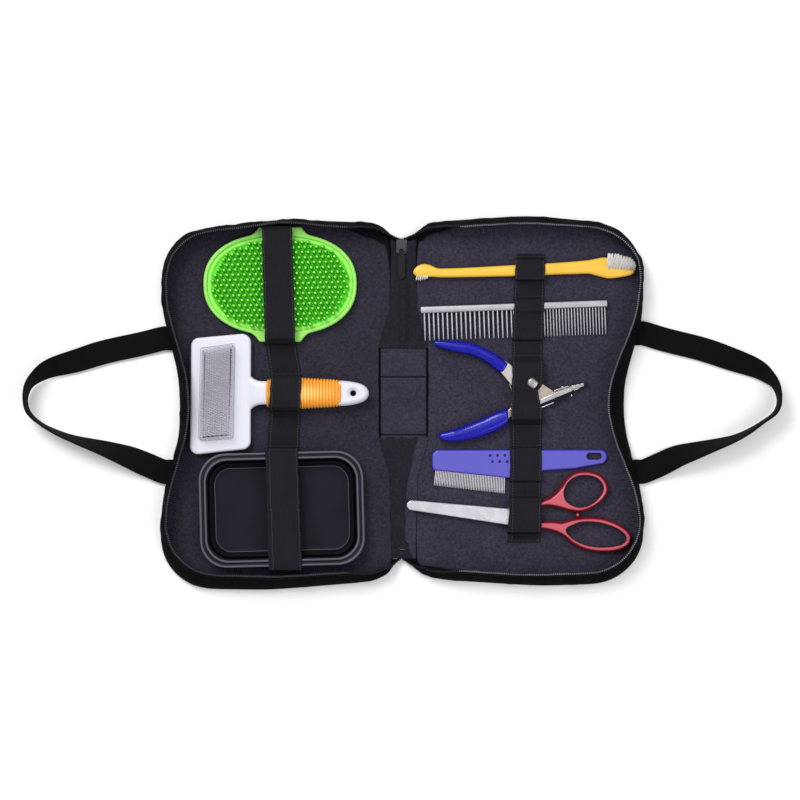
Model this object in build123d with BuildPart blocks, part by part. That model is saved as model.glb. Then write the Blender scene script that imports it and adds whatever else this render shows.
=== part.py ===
from build123d import *
import os
from math import cos, hypot, radians, sin, tan

os.makedirs("parts", exist_ok=True)

# Pet grooming kit: a zipped case of two leaves, open on a table, with eight tools under elastic straps.
# The origin is under the middle of the spine, on the table. +X runs to the right leaf, +Y to the top.

# Thicknesses of the case
panel_t = 3.0
lining_t = 1.0
wall_t = 3.0
tape_t = 1.2
coil_w = 2.4
base_z = panel_t + lining_t

# The leaf is as wide as the longer of the toothbrush and the scissors needs
brush_start = 9.5
brush_l = 221.0
lower_ring = (193.0, -130.5)
lower_ring_long = 36.0
scissors_end = lower_ring[0] + lower_ring_long + 1.5
end_room = 12.5

# Outline of one leaf, measured out from the spine's middle line
spine_w = 46.0
spine_top = 58.0
spine_bottom = -35.0
lobe_edge = 12.0
lobe_x = max(brush_start + brush_l, scissors_end) + end_room
waist_x = lobe_x - 22.0
waist_half = 22.0
lobe_y = 94.0
crown_x = 125.0
leaf_top = 187.4
leaf_bottom = -187.4
corner_drop = 5.0
inner_slope = 37.0
corner_r = 49.0
inner_r = 24.0
crown_r = 300.0
waist_r = 100.0
spine_r = 40.0

# The wall leans in from its seam to the zipper
lean_top = 8.0
lean_side = 7.0
lean_bottom = 15.0
coil_h = 1.6
tape_h = 3.0
zip_gap = 0.2
wall_end = 24.0
meet_z = base_z + spine_w / 2
coil_top = meet_z - zip_gap
tape_top = coil_top - coil_h
wall_top = tape_top - tape_h

# Clearances
hinge_gap = 0.3
spine_trim = 7.0
soft_gap = 0.3
run_gap = 0.2

# Carrying handles
web_w = 24.0
web_t = 2.2
handle_x = waist_x + 19.0
handle_top_y = 65.0
handle_bottom_y = -68.0
handle_reach = handle_x + 139.0
web_z = 0.4 + web_t / 2

# Elastic straps
strap_w = 30.0
strap_t = 1.6
left_strap_x = -122.0
right_strap_x = 122.5

tool_z = base_z + soft_gap


def turned(point, angle):
    """A plane at point whose x axis lies at angle degrees in the plan view."""
    return Plane(origin=point, x_dir=(cos(radians(angle)), sin(radians(angle)), 0), z_dir=(0, 0, 1))


def round_corner(before, corner, after):
    """Start, middle and end of the arc that rounds a corner given as (x, y, radius)."""
    here = Vector(corner[0], corner[1])
    back = (Vector(before[0], before[1]) - here).normalized()
    ahead = (Vector(after[0], after[1]) - here).normalized()
    half = radians(back.get_angle(ahead)) / 2
    cut = corner[2] / tan(half)
    inward = (back + ahead).normalized()
    middle = here + inward * (corner[2] / sin(half) - corner[2])
    return here + back * cut, middle, here + ahead * cut


def leaf_outline(side, z, inset=0.0):
    """The plan of one leaf at height z; side is -1 for the left leaf and 1 for the right one."""
    lean = max(0.0, (z - base_z) / (meet_z - base_z))
    top = leaf_top - lean_top * lean
    bottom = leaf_bottom + lean_bottom * lean
    lobe = lobe_x - lean_side * lean
    waist = waist_x - lean_side * lean
    hinge_x = spine_w / 2
    corners = [
        (hinge_x, spine_top, spine_r),
        (lobe_edge, spine_top + inner_slope, spine_r),
        (lobe_edge - 2, top - corner_drop, inner_r),
        (crown_x, top, crown_r),
        (lobe, top - corner_drop, corner_r),
        (lobe, lobe_y, waist_r),
        (waist, waist_half, waist_r),
        (waist, -waist_half, waist_r),
        (lobe, -lobe_y, waist_r),
        (lobe, bottom + corner_drop, corner_r),
        (crown_x, bottom, crown_r),
        (lobe_edge - 2, bottom + corner_drop, inner_r),
        (lobe_edge, spine_bottom - inner_slope, spine_r),
        (hinge_x, spine_bottom, spine_r),
    ]
    count = len(corners)
    bends = [round_corner(corners[i - 1], corners[i], corners[(i + 1) % count]) for i in range(count)]
    with BuildSketch(Plane.XY.offset(z), mode=Mode.PRIVATE) as outline:
        with BuildLine():
            for i in range(count):
                ThreePointArc(*bends[i])
                Line(bends[i][2], bends[(i + 1) % count][0])
        make_face()
        if side < 0:
            mirror(about=Plane.YZ, mode=Mode.REPLACE)
        if inset:
            offset(amount=-inset, mode=Mode.REPLACE)
    return outline.sketch.face()


def leaf_ring(side, low, high, outer, inner):
    """A leaning band round a leaf between two insets, open along the spine."""
    loft([leaf_outline(side, low, outer), leaf_outline(side, high, outer)])
    loft([leaf_outline(side, low, inner), leaf_outline(side, high, inner)], mode=Mode.SUBTRACT)
    tall = 4 * meet_z
    long_y = 2 * (leaf_top - leaf_bottom)
    Box(2 * wall_end, long_y, tall, mode=Mode.SUBTRACT)
    waist_cut = spine_w + 2 * wall_t + 2
    with Locations((0, (spine_top + spine_bottom) / 2, 0)):
        Box(waist_cut, spine_top - spine_bottom + 2 * inner_slope, tall, mode=Mode.SUBTRACT)


def write(piece, label):
    """Name a finished piece and write its file."""
    piece.part.label = label
    export_step(piece.part, "parts/" + label + ".step")


# Case leaves
for side, name in ((-1, "left"), (1, "right")):
    with BuildPart() as binding:
        extrude(leaf_outline(side, 0), amount=base_z)
        extrude(leaf_outline(side, 0, wall_t), amount=base_z, mode=Mode.SUBTRACT)
    write(binding, name + "_binding")

    with BuildPart() as base_panel:
        extrude(leaf_outline(side, 0, wall_t), amount=panel_t)
    write(base_panel, name + "_base_panel")

    with BuildPart() as lining:
        extrude(leaf_outline(side, panel_t, wall_t), amount=lining_t)
    write(lining, name + "_lining")

    with BuildPart() as side_wall:
        leaf_ring(side, base_z, wall_top, 0, wall_t)
    write(side_wall, name + "_side_wall")

    with BuildPart() as zip_tape:
        leaf_ring(side, wall_top, tape_top, (wall_t - tape_t) / 2, (wall_t + tape_t) / 2)
    write(zip_tape, name + "_zip_tape")

    with BuildPart() as zip_coil:
        leaf_ring(side, tape_top, coil_top, (wall_t - coil_w) / 2, (wall_t + coil_w) / 2)
    write(zip_coil, name + "_zip_coil")

# Spine panel and its lining, hinged to both leaves
spine_x = spine_w - 2 * hinge_gap
spine_y = spine_top - spine_bottom - 2 * spine_trim
spine_mid = (spine_top + spine_bottom) / 2

with BuildPart() as spine_panel:
    with BuildSketch():
        with Locations((0, spine_mid)):
            Rectangle(spine_x, spine_y)
    extrude(amount=panel_t)
write(spine_panel, "spine_panel")

with BuildPart() as spine_lining:
    with BuildSketch(Plane.XY.offset(panel_t)):
        with Locations((0, spine_mid)):
            Rectangle(spine_x, spine_y)
    extrude(amount=lining_t)
write(spine_lining, "spine_lining")

# Soft gussets: the cloth between the lobes of the two leaves, pushed up into a low ridge
ridge_h = 9.0
ridge_low = 3.9
flat_from = 124.0
upper_end = 150.5
lower_end = -139.0
gusset_edge_h = 3.0
ridge_foot = 7.5
ridge_crest = 2.0


def gusset_plan(low, high):
    """The strip between the two leaves from y = low to y = high."""
    with BuildSketch(mode=Mode.PRIVATE) as plan:
        with Locations((0, (low + high) / 2)):
            Rectangle(spine_w - 2 * hinge_gap, high - low)
        for side in (-1, 1):
            add(leaf_outline(side, 0, -soft_gap), mode=Mode.SUBTRACT)
    return plan.sketch


def ridge_profile(height):
    """The cross-section of the pushed-up cloth."""
    half = spine_w / 2
    edge = gusset_edge_h
    with BuildSketch(Plane.XZ, mode=Mode.PRIVATE) as profile:
        with BuildLine():
            Polyline(
                (-half, 0),
                (half, 0),
                (half, edge),
                (ridge_foot, edge + 1),
                (ridge_crest, height),
                (-ridge_crest, height),
                (-ridge_foot, edge + 1),
                (-half, edge),
                close=True,
            )
        make_face()
    return profile.sketch


with BuildPart() as upper_gusset:
    extrude(gusset_plan(spine_top - spine_trim + hinge_gap, upper_end), amount=ridge_h)
    extrude(ridge_profile(ridge_h), amount=leaf_top, both=True, mode=Mode.INTERSECT)
    with Locations((0, (flat_from + leaf_top) / 2, ridge_low + ridge_h / 2)):
        Box(spine_w, leaf_top - flat_from, ridge_h, mode=Mode.SUBTRACT)
write(upper_gusset, "upper_gusset")

with BuildPart() as lower_gusset:
    extrude(gusset_plan(lower_end, spine_bottom + spine_trim - hinge_gap), amount=ridge_h)
    extrude(ridge_profile(ridge_h), amount=-leaf_bottom, both=True, mode=Mode.INTERSECT)
write(lower_gusset, "lower_gusset")

# Zipper slider with its pull tab, and the end stop
slider_w = 10.0
slider_l = 14.0
slider_h = 4.5
slider_x = -2.0
slider_low = 0.5
slider_y = upper_end + soft_gap + slider_l / 2
bail_r = 1.0
bail_w = 4.0
bail_z = slider_low + slider_h + bail_r + run_gap
tab_l = 24.0
tab_w = 7.0
tab_t = 1.6
tab_y = upper_end + 3.0
cheek_t = 1.2
cheek_h = 2 * bail_r + run_gap + 0.6

with BuildPart() as zip_slider:
    with BuildSketch(Plane.XY.offset(slider_low)):
        with Locations((slider_x, slider_y)):
            RectangleRounded(slider_w, slider_l, 2.5)
    extrude(amount=slider_h)
    with BuildSketch(Plane.XY.offset(slider_low + slider_h)):
        with Locations((slider_x, tab_y)):
            with Locations((-bail_w / 2 - run_gap - cheek_t / 2, 0), (bail_w / 2 + run_gap + cheek_t / 2, 0)):
                Rectangle(cheek_t, 3.2)
    extrude(amount=cheek_h)
write(zip_slider, "zip_slider")

with BuildPart() as zip_pull_tab:
    with BuildSketch(Plane.YZ.offset(slider_x)):
        with Locations((tab_y, bail_z)):
            Circle(bail_r)
    extrude(amount=bail_w / 2, both=True)
    with BuildSketch(Plane.XY.offset(bail_z - tab_t / 2)):
        with Locations((slider_x, tab_y - 3.2)):
            Rectangle(bail_w, 6.4)
        with Locations((slider_x, tab_y - 5 - tab_l / 2)):
            RectangleRounded(tab_w, tab_l, 3.0)
    extrude(amount=tab_t)
write(zip_pull_tab, "zip_pull_tab")

stop_w = 9.0
stop_l = 6.0
stop_h = 4.0
with BuildPart() as zip_end_stop:
    with BuildSketch():
        with Locations((0, lower_end - soft_gap - stop_l / 2)):
            RectangleRounded(stop_w, stop_l, 1.5)
    extrude(amount=stop_h)
write(zip_end_stop, "zip_end_stop")

# Webbing handles: flat on the table at the case, standing on edge at the far bend
# Each station is its share of the way out, its share of the way up or down, and its turn on edge
handle_shares = [
    (0, 1, 0),
    (0.16, 0.915, 0),
    (0.424, 0.8, 6),
    (0.634, 0.669, 22),
    (0.815, 0.554, 42),
    (0.917, 0.423, 62),
    (0.979, 0.262, 80),
    (1, 0.046, 90),
    (0.975, -0.14, 90),
    (0.895, -0.301, 90),
    (0.772, -0.456, 84),
    (0.634, -0.566, 76),
    (0.417, -0.706, 55),
    (0.243, -0.816, 30),
    (0.116, -0.919, 8),
    (0, -1, 0),
]
handle_out = handle_reach - web_t / 2 - handle_x
handle_route = [
    (handle_x + out * handle_out, up * (handle_top_y if up > 0 else -handle_bottom_y), tilt)
    for out, up, tilt in handle_shares
]


def web_station(side, index):
    """The webbing's section at one station of the handle's route."""
    x, y, tilt = handle_route[index]
    if index == 0:
        along = (1, 0)
    elif index == len(handle_route) - 1:
        along = (-1, 0)
    else:
        before = handle_route[index - 1]
        after = handle_route[index + 1]
        along = (after[0] - before[0], after[1] - before[1])
    size = hypot(*along)
    run = Vector(side * along[0] / size, along[1] / size, 0)
    across = Vector(-run.Y, run.X, 0) * cos(radians(tilt)) * side + Vector(0, 0, sin(radians(tilt)))
    height = web_z + (web_w / 2) * sin(radians(tilt))
    with BuildSketch(Plane((side * x, y, height), x_dir=across, z_dir=run), mode=Mode.PRIVATE) as station:
        Rectangle(web_w, web_t)
    return station.sketch.face()


for side, name in ((-1, "left"), (1, "right")):
    with BuildPart() as handle:
        loft([web_station(side, i) for i in range(len(handle_route))], ruled=True)
        with BuildSketch(Plane.XZ):
            with Locations((side * handle_x, web_z)):
                Circle(web_t / 2)
        extrude(amount=-handle_top_y - web_w / 2)
        with Locations((side * handle_x, (handle_top_y + handle_bottom_y) / 2, web_z)):
            inner_gap = handle_top_y - handle_bottom_y - web_w
            Box(3 * web_t, inner_gap, 2 * web_t, mode=Mode.SUBTRACT)
    write(handle, name + "_handle")

# Webbing tabs that carry the handles, sewn under the edge binding
tab_end = handle_x - web_t / 2 - run_gap
for side, name in ((-1, "left"), (1, "right")):
    with BuildPart() as handle_tabs:
        with BuildSketch(Plane.XY.offset(web_z - web_t / 2)):
            for y in (handle_top_y, handle_bottom_y):
                with Locations((side * (waist_x + tab_end) / 2, y)):
                    Rectangle(tab_end - waist_x, web_w)
            add(leaf_outline(side, 0), mode=Mode.SUBTRACT)
        extrude(amount=web_t)
    write(handle_tabs, name + "_handle_tabs")


def ribbon(x, route, radius):
    """The side view of an elastic strap that runs over the tools, at the plane x."""
    with BuildSketch(Plane.YZ.offset(x), mode=Mode.PRIVATE) as side_view:
        with BuildLine():
            FilletPolyline(*route, radius=radius)
        trace(line_width=strap_t)
    return side_view.sketch


# Rubber brush: an oval pad with a raised rim, a tab above and below, and rows of nubs
rubber_x = -123.0
rubber_y = 119.0
rubber_long = 76.5
rubber_short = 50.5
rubber_tab_w = 42.0
rubber_tab_y = 58.0
rubber_tab_r = 6.0
rubber_flare = 12.0
rubber_floor = 4.0
rubber_rim_w = 4.0
rubber_rim_h = 7.0
nub_h = 9.5
nub_r = 2.0
nub_taper = 6.0
nub_pitch_x = 9.0
nub_pitch_y = 7.6


def rubber_outline(height, inset):
    """The oval of the rubber brush with its two flared tabs."""
    half = rubber_tab_w / 2 - inset
    root = rubber_short * 0.8 - inset
    neck = rubber_short + 1.5 - inset
    with BuildSketch(Plane((rubber_x, rubber_y, tool_z + height)), mode=Mode.PRIVATE) as outline:
        Ellipse(rubber_long - inset, rubber_short - inset)
        RectangleRounded(2 * half, 2 * rubber_tab_y - 2 * inset, rubber_tab_r - inset)
        for up in (-1, 1):
            Polygon(
                (-half - rubber_flare, up * root),
                (half + rubber_flare, up * root),
                (half, up * neck),
                (-half, up * neck),
                align=None,
            )
    return outline.sketch


def oval_grid(long_r, short_r, pitch_x, pitch_y):
    """Staggered points that lie inside an oval."""
    rows = int(short_r / pitch_y)
    columns = int(long_r / pitch_x) + 1
    spots = []
    for row in range(-rows, rows + 1):
        for column in range(-columns, columns + 1):
            x = (column + 0.5 * (row % 2)) * pitch_x
            y = row * pitch_y
            if (x / long_r) ** 2 + (y / short_r) ** 2 <= 1:
                spots.append((x, y))
    return spots


with BuildPart() as rubber_brush_pad:
    extrude(rubber_outline(0, 0), amount=rubber_rim_h)
    extrude(rubber_outline(rubber_floor, rubber_rim_w), amount=rubber_rim_h, mode=Mode.SUBTRACT)
write(rubber_brush_pad, "rubber_brush_pad")

nub_z = tool_z + rubber_floor
skin_t = 0.8
with BuildPart() as rubber_brush_nubs:
    with BuildSketch(Plane((rubber_x, rubber_y, nub_z))):
        Ellipse(rubber_long - 8, rubber_short - 8)
    extrude(amount=skin_t)
    with BuildSketch(Plane((rubber_x, rubber_y, nub_z + skin_t))):
        with Locations(*oval_grid(rubber_long - 11, rubber_short - 11, nub_pitch_x, nub_pitch_y)):
            RegularPolygon(nub_r, 4)
    extrude(amount=nub_h, taper=nub_taper)
write(rubber_brush_nubs, "rubber_brush_nubs")
nub_top = nub_z + skin_t + nub_h

# Slicker brush: head, neck, core and hanging end in one moulding, with a pin pad and a ribbed grip
slicker_y = 10.2
slicker_head = [(-214.0, -48.5), (-152.5, -44.5), (-152.5, 69.0), (-212.0, 61.0)]
slicker_head_r = 9.0
slicker_head_t = 9.0
slicker_pad_inset = 11.5
slicker_pad_t = 2.0
pin_h = 8.5
pin_w = 0.9
pin_pitch_x = 4.4
pin_pitch_y = 4.7
neck_x = -153.5
grip_x = -132.5
grip_l = 70.0
grip_w = 31.4
grip_t = 18.0
rib_depth = 1.0
rib_pitch = 3.1
core_r = 5.5
neck_w = 20.0
end_l = 28.0
end_w = 25.0
end_t = 12.0
end_r = 10.0
hang_hole_d = 6.4
hang_hole_x = -50.1
grip_z = tool_z + grip_t / 2

with BuildPart() as slicker_head_part:
    with BuildSketch(Plane.XY.offset(tool_z)) as head_plan:
        Polygon(*slicker_head, align=None)
        fillet(head_plan.vertices(), radius=slicker_head_r)
    extrude(amount=slicker_head_t)
    with BuildSketch(Plane(origin=(neck_x - 3, slicker_y, grip_z - 1.5), x_dir=(0, 1, 0), z_dir=(1, 0, 0))):
        RectangleRounded(neck_w, end_t - 2, 3.0)
    extrude(amount=grip_x - neck_x + 3)
    with BuildSketch(Plane(origin=(grip_x, slicker_y, grip_z), x_dir=(0, 1, 0), z_dir=(1, 0, 0))):
        Circle(core_r)
    extrude(amount=grip_l)
    with BuildSketch(Plane.XY.offset(grip_z - end_t / 2)) as end_plan:
        with Locations((grip_x + grip_l + end_l / 2, slicker_y)):
            Rectangle(end_l, end_w)
        fillet(end_plan.vertices().group_by(Axis.X)[-1], radius=end_r)
        with Locations((hang_hole_x, slicker_y)):
            Circle(hang_hole_d / 2, mode=Mode.SUBTRACT)
    extrude(amount=end_t)
write(slicker_head_part, "slicker_head")

pad_z = tool_z + slicker_head_t
with BuildPart() as slicker_pad:
    with BuildSketch(Plane.XY.offset(pad_z)) as pad_plan:
        Polygon(*slicker_head, align=None)
        offset(amount=-slicker_pad_inset, kind=Kind.INTERSECTION, mode=Mode.REPLACE)
        fillet(pad_plan.vertices(), radius=3.0)
    extrude(amount=slicker_pad_t)
write(slicker_pad, "slicker_pad")

pad_mid_x = (slicker_head[0][0] + slicker_head[1][0]) / 2
pad_mid_y = (slicker_head[0][1] + slicker_head[2][1]) / 2
pin_z = pad_z + slicker_pad_t
pins_across = slicker_head[1][0] - slicker_head[0][0] - 2 * slicker_pad_inset - 4.5
pins_along = slicker_head[3][1] - slicker_head[0][1] - 2 * slicker_pad_inset - 0.5
with BuildPart() as slicker_pins:
    with BuildSketch(Plane((pad_mid_x, pad_mid_y, pin_z))):
        RectangleRounded(pins_across, pins_along, 2.0)
    extrude(amount=skin_t)
    with BuildSketch(Plane((pad_mid_x, pad_mid_y, pin_z + skin_t))):
        pin_columns = int(pins_across / pin_pitch_x)
        pin_rows = int(pins_along / pin_pitch_y)
        with GridLocations(pin_pitch_x, pin_pitch_y, pin_columns, pin_rows):
            Rectangle(pin_w, pin_w)
    extrude(amount=pin_h)
write(slicker_pins, "slicker_pins")

with BuildPart() as slicker_grip:
    with BuildSketch(Plane(origin=(grip_x, slicker_y, grip_z), x_dir=(0, 1, 0), z_dir=(1, 0, 0))):
        Ellipse(grip_w / 2 - rib_depth, grip_t / 2 - rib_depth)
        Circle(core_r, mode=Mode.SUBTRACT)
    extrude(amount=grip_l)
    for rib in range(int(grip_l / rib_pitch)):
        rib_x = grip_x + rib * rib_pitch
        with BuildSketch(Plane(origin=(rib_x, slicker_y, grip_z), x_dir=(0, 1, 0), z_dir=(1, 0, 0))):
            Ellipse(grip_w / 2, grip_t / 2)
            Circle(core_r, mode=Mode.SUBTRACT)
        extrude(amount=rib_pitch * 0.6)
write(slicker_grip, "slicker_grip")

# Folding silicone bowl, pressed flat: base, fold wall and rim
bowl_x = -121.0
bowl_y = -105.0
bowl_turn = 1.5
bowl_long = 164.0
bowl_short = 114.0
bowl_r = 27.0
bowl_rim_w = 8.0
bowl_rim_h = 4.0
bowl_flat_h = 13.0
bowl_floor_inset = 15.0
bowl_floor_t = 2.0
bowl_wall_t = 1.6


def bowl_plan(height, inset):
    """The rounded rectangle of the bowl at one height, drawn in from the rim."""
    spot = turned((bowl_x, bowl_y, tool_z + height), bowl_turn)
    with BuildSketch(spot, mode=Mode.PRIVATE) as plan:
        RectangleRounded(bowl_long - 2 * inset, bowl_short - 2 * inset, bowl_r - 0.7 * inset)
    return plan.sketch.face()


with BuildPart() as bowl_base:
    extrude(bowl_plan(0, bowl_floor_inset), amount=bowl_floor_t)
write(bowl_base, "bowl_base")

fold_low = bowl_floor_t
fold_high = bowl_flat_h - bowl_rim_h - soft_gap
with BuildPart() as bowl_fold:
    fold_out = bowl_rim_w / 2
    loft([bowl_plan(fold_low, bowl_floor_inset), bowl_plan(fold_high, fold_out)])
    loft(
        [bowl_plan(fold_low, bowl_floor_inset + bowl_wall_t), bowl_plan(fold_high, fold_out + 2 * bowl_wall_t)],
        mode=Mode.SUBTRACT,
    )
write(bowl_fold, "bowl_fold")

with BuildPart() as bowl_rim:
    extrude(bowl_plan(bowl_flat_h - bowl_rim_h, 0), amount=bowl_rim_h)
    extrude(bowl_plan(bowl_flat_h - bowl_rim_h, bowl_rim_w), amount=bowl_rim_h, mode=Mode.SUBTRACT)
write(bowl_rim, "bowl_rim")

# Left elastic strap, sewn to the lining between the tools
low = base_z + strap_t / 2
over_nubs = nub_top + soft_gap + strap_t / 2
over_grip = tool_z + grip_t + soft_gap + strap_t / 2
over_bowl = tool_z + bowl_flat_h + soft_gap + strap_t / 2
brush_top = rubber_y + rubber_tab_y
brush_bottom = rubber_y - rubber_tab_y
grip_top = slicker_y + grip_w / 2
grip_bottom = slicker_y - grip_w / 2
bowl_top = bowl_y + bowl_short / 2
bowl_bottom = bowl_y - bowl_short / 2
left_route = [
    (brush_top + 5.0, low),
    (brush_top + 2.6, low),
    (brush_top + 1.6, tool_z + rubber_rim_h),
    (brush_top - 1.5, over_nubs),
    (brush_bottom + 4.0, over_nubs),
    (brush_bottom - 1.6, tool_z + rubber_rim_h),
    (brush_bottom - 2.4, low),
    (grip_top + 2.2, low),
    (grip_top + 1.8, grip_z + 2.0),
    (grip_top - 1.8, grip_z + 8.2),
    (grip_top - 8.5, over_grip),
    (grip_bottom + 8.5, over_grip),
    (grip_bottom + 1.8, grip_z + 8.2),
    (grip_bottom - 1.8, grip_z + 2.0),
    (grip_bottom - 2.2, low),
    (bowl_top + 3.8, low),
    (bowl_top + 2.8, over_bowl),
    (bowl_bottom - 2.8, over_bowl),
    (bowl_bottom - 3.8, low),
    (bowl_bottom - 8.0, low),
]
with BuildPart() as left_strap:
    extrude(ribbon(left_strap_x, left_route, 0.9), amount=strap_w / 2, both=True)
write(left_strap, "left_strap")

# Toothbrush, lying on its side: a handle with a large head at one end and a small one at the other
brush_spot = (brush_start, 128.6)
brush_turn = 2.2
brush_t = 7.0
brush_w = 10.0
brush_w_end = 13.5
small_head_l = 22.0
large_head_l = 28.0
head_back_t = 4.5
small_strand = 7.0
large_strand = 16.5
tuft_w = 1.0
large_root = -7.0
small_root = 2.0
brush_plane = turned((brush_spot[0], brush_spot[1], tool_z), brush_turn)

with BuildPart() as toothbrush_handle:
    with BuildSketch(brush_plane) as brush_plan:
        with BuildLine():
            head_x = brush_l - large_head_l
            Polyline(
                (2.0, small_root),
                (small_head_l - 4, small_root),
                (small_head_l, -brush_w / 2),
                (head_x - 30, -brush_w_end / 2),
                (head_x - 8, large_root - head_back_t),
                (head_x + 2, large_root - head_back_t - 0.5),
                (brush_l - 2, large_root - 1.5),
                (brush_l, large_root),
                (head_x, large_root),
                (head_x - 6, brush_w_end / 2 - 1),
                (head_x - 30, brush_w_end / 2),
                (small_head_l, brush_w / 2),
                (small_head_l - 4, small_root + head_back_t),
                (2.0, small_root + head_back_t),
                (0, small_root + head_back_t - 1.5),
                close=True,
            )
        make_face()
    extrude(amount=brush_t)
write(toothbrush_handle, "toothbrush_handle")


def tuft_set(start, length, root, reach, columns, rows):
    """Square strands standing on a slice of their backing; reach is signed along the plan's y axis."""
    slice_t = 0.8
    up = 1 if reach > 0 else -1
    with BuildPart(mode=Mode.PRIVATE) as tufts:
        with BuildSketch(brush_plane):
            with Locations((start + length / 2, root + up * slice_t / 2)):
                Rectangle(length, slice_t)
        extrude(amount=brush_t)
        for row in range(rows):
            with BuildSketch(brush_plane.offset(0.5 + row * (brush_t - 1) / rows)):
                with Locations((start + length / 2, root + up * slice_t + reach / 2)):
                    with GridLocations(length / columns, 1, columns, 1):
                        Rectangle(tuft_w, abs(reach))
            extrude(amount=tuft_w)
    return tufts.part


with BuildPart() as large_bristles:
    add(tuft_set(brush_l - large_head_l + 1, large_head_l - 2, large_root, large_strand, 14, 4))
write(large_bristles, "toothbrush_large_bristles")

with BuildPart() as small_bristles:
    add(tuft_set(2.5, small_head_l - 7, small_root, -small_strand, 8, 3))
write(small_bristles, "toothbrush_small_bristles")

# Steel comb: a round spine with wide-set teeth at one end and close-set teeth at the other
comb_spot = (16.5, 94.0)
comb_turn = 2.05
comb_l = 187.0
comb_d = 6.4
comb_tooth_l = 29.5
wide_tooth_d = 1.7
wide_pitch = 4.56
wide_share = 0.494
fine_tooth_d = 1.2
fine_pitch = 3.03
comb_margin = 4.0
comb_step = 2.4
wide_count = int(comb_l * wide_share / wide_pitch)
wide_to = comb_margin + wide_pitch * (wide_count - 1)
fine_to = comb_l - comb_margin + 1.0
fine_count = 1 + int((fine_to - wide_to - comb_step) / fine_pitch)
comb_z = tool_z + comb_d / 2
comb_plane = turned((comb_spot[0], comb_spot[1], comb_z), comb_turn)
comb_along = Plane(origin=comb_plane.origin, x_dir=comb_plane.y_dir, z_dir=comb_plane.x_dir)
comb_down = Plane(origin=comb_plane.origin, x_dir=comb_plane.x_dir, z_dir=-comb_plane.y_dir)

with BuildPart() as comb_spine:
    with BuildSketch(comb_along):
        Circle(comb_d / 2)
    extrude(amount=comb_l)
    fillet(comb_spine.edges(), radius=comb_d / 2 - 0.4)
write(comb_spine, "comb_spine")


def tooth_row(start, pitch, count, diameter):
    """A row of round teeth that starts at one place along the comb."""
    root = comb_d / 2 - 0.4
    with BuildSketch(comb_down.offset(root), mode=Mode.PRIVATE) as row:
        with Locations((start + pitch * (count - 1) / 2, 0)):
            with GridLocations(pitch, 1, count, 1):
                Circle(diameter / 2)
    return extrude(row.sketch, amount=comb_tooth_l - root, mode=Mode.PRIVATE)


with BuildPart() as comb_wide_teeth:
    add(tooth_row(comb_margin, wide_pitch, wide_count, wide_tooth_d))
    with BuildSketch(comb_along):
        Circle(comb_d / 2)
    extrude(amount=comb_l, mode=Mode.SUBTRACT)
write(comb_wide_teeth, "comb_wide_teeth")

fine_from = fine_to - fine_pitch * (fine_count - 1)
with BuildPart() as comb_fine_teeth:
    add(tooth_row(fine_from, fine_pitch, fine_count, fine_tooth_d))
    with BuildSketch(comb_along):
        Circle(comb_d / 2)
    extrude(amount=comb_l, mode=Mode.SUBTRACT)
write(comb_fine_teeth, "comb_fine_teeth")

# Nail clippers: a fixed frame and a lever on one pivot, a sliding blade, dipped grips and a leaf spring
clip_pivot = (124.0, 4.0)
clip_pin_r = 2.0
clip_plate_t = 3.0
clip_grip_t = 11.0
clip_z = tool_z + (clip_grip_t - 2 * clip_plate_t - run_gap) / 2
lever_z = clip_z + clip_plate_t + run_gap

upper_outer = [(29.5, 62.0), (45.5, 62.5), (66.5, 60.5), (83.5, 54.0), (97.0, 46.0), (104.5, 40.0)]
upper_inner = [(97.0, 30.0), (83.5, 40.0), (69.5, 47.5), (52.5, 51.0), (38.5, 54.5)]
lower_outer = [(34.5, -33.0), (41.0, -36.5), (56.0, -37.5), (76.0, -33.5), (95.0, -26.0), (104.5, -19.5)]
lower_inner = [(103.5, -5.5), (94.0, -8.0), (81.0, -14.0), (60.0, -22.5), (43.0, -28.0)]


def grip_plan(outer, inner):
    """The plan of a dipped grip between its outer and inner edges."""
    with BuildSketch(Plane.XY.offset(tool_z), mode=Mode.PRIVATE) as plan:
        with BuildLine():
            Spline(*outer)
            Line(outer[-1], inner[0])
            Spline(*inner)
            Line(inner[-1], outer[0])
        make_face()
    return plan.sketch


lever_outline = [
    (80.0, 51.0), (98.0, 44.5), (107.5, 38.0), (119.0, 22.0), (130.0, 9.0), (131.0, 2.0),
    (128.0, -2.0), (121.0, -1.0), (115.0, 9.0), (103.0, 23.5), (92.0, 37.0), (78.0, 46.5),
]
frame_outline = [
    (80.0, -26.0), (96.0, -20.5), (108.0, -12.5), (122.0, -8.5), (137.0, -6.5), (160.0, 2.0),
    (183.0, 16.5), (181.5, 19.5), (160.0, 11.5), (150.0, 10.5), (136.0, 20.0), (131.5, 18.0),
    (132.0, 12.0), (118.0, 6.0), (104.0, -7.0), (94.0, -12.5), (80.0, -18.5),
]

with BuildPart() as clipper_frame:
    with BuildSketch(Plane.XY.offset(clip_z)) as frame_plan:
        Polygon(*frame_outline, align=None)
        with Locations(clip_pivot):
            Circle(3.6 * clip_pin_r)
            Circle(clip_pin_r, mode=Mode.SUBTRACT)
    extrude(amount=clip_plate_t)
write(clipper_frame, "clipper_frame")

with BuildPart() as clipper_lever:
    with BuildSketch(Plane.XY.offset(lever_z)) as lever_plan:
        Polygon(*lever_outline, align=None)
        with Locations(clip_pivot):
            Circle(3.0 * clip_pin_r)
            Circle(clip_pin_r + 0.05, mode=Mode.SUBTRACT)
    extrude(amount=clip_plate_t)
write(clipper_lever, "clipper_lever")

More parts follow.
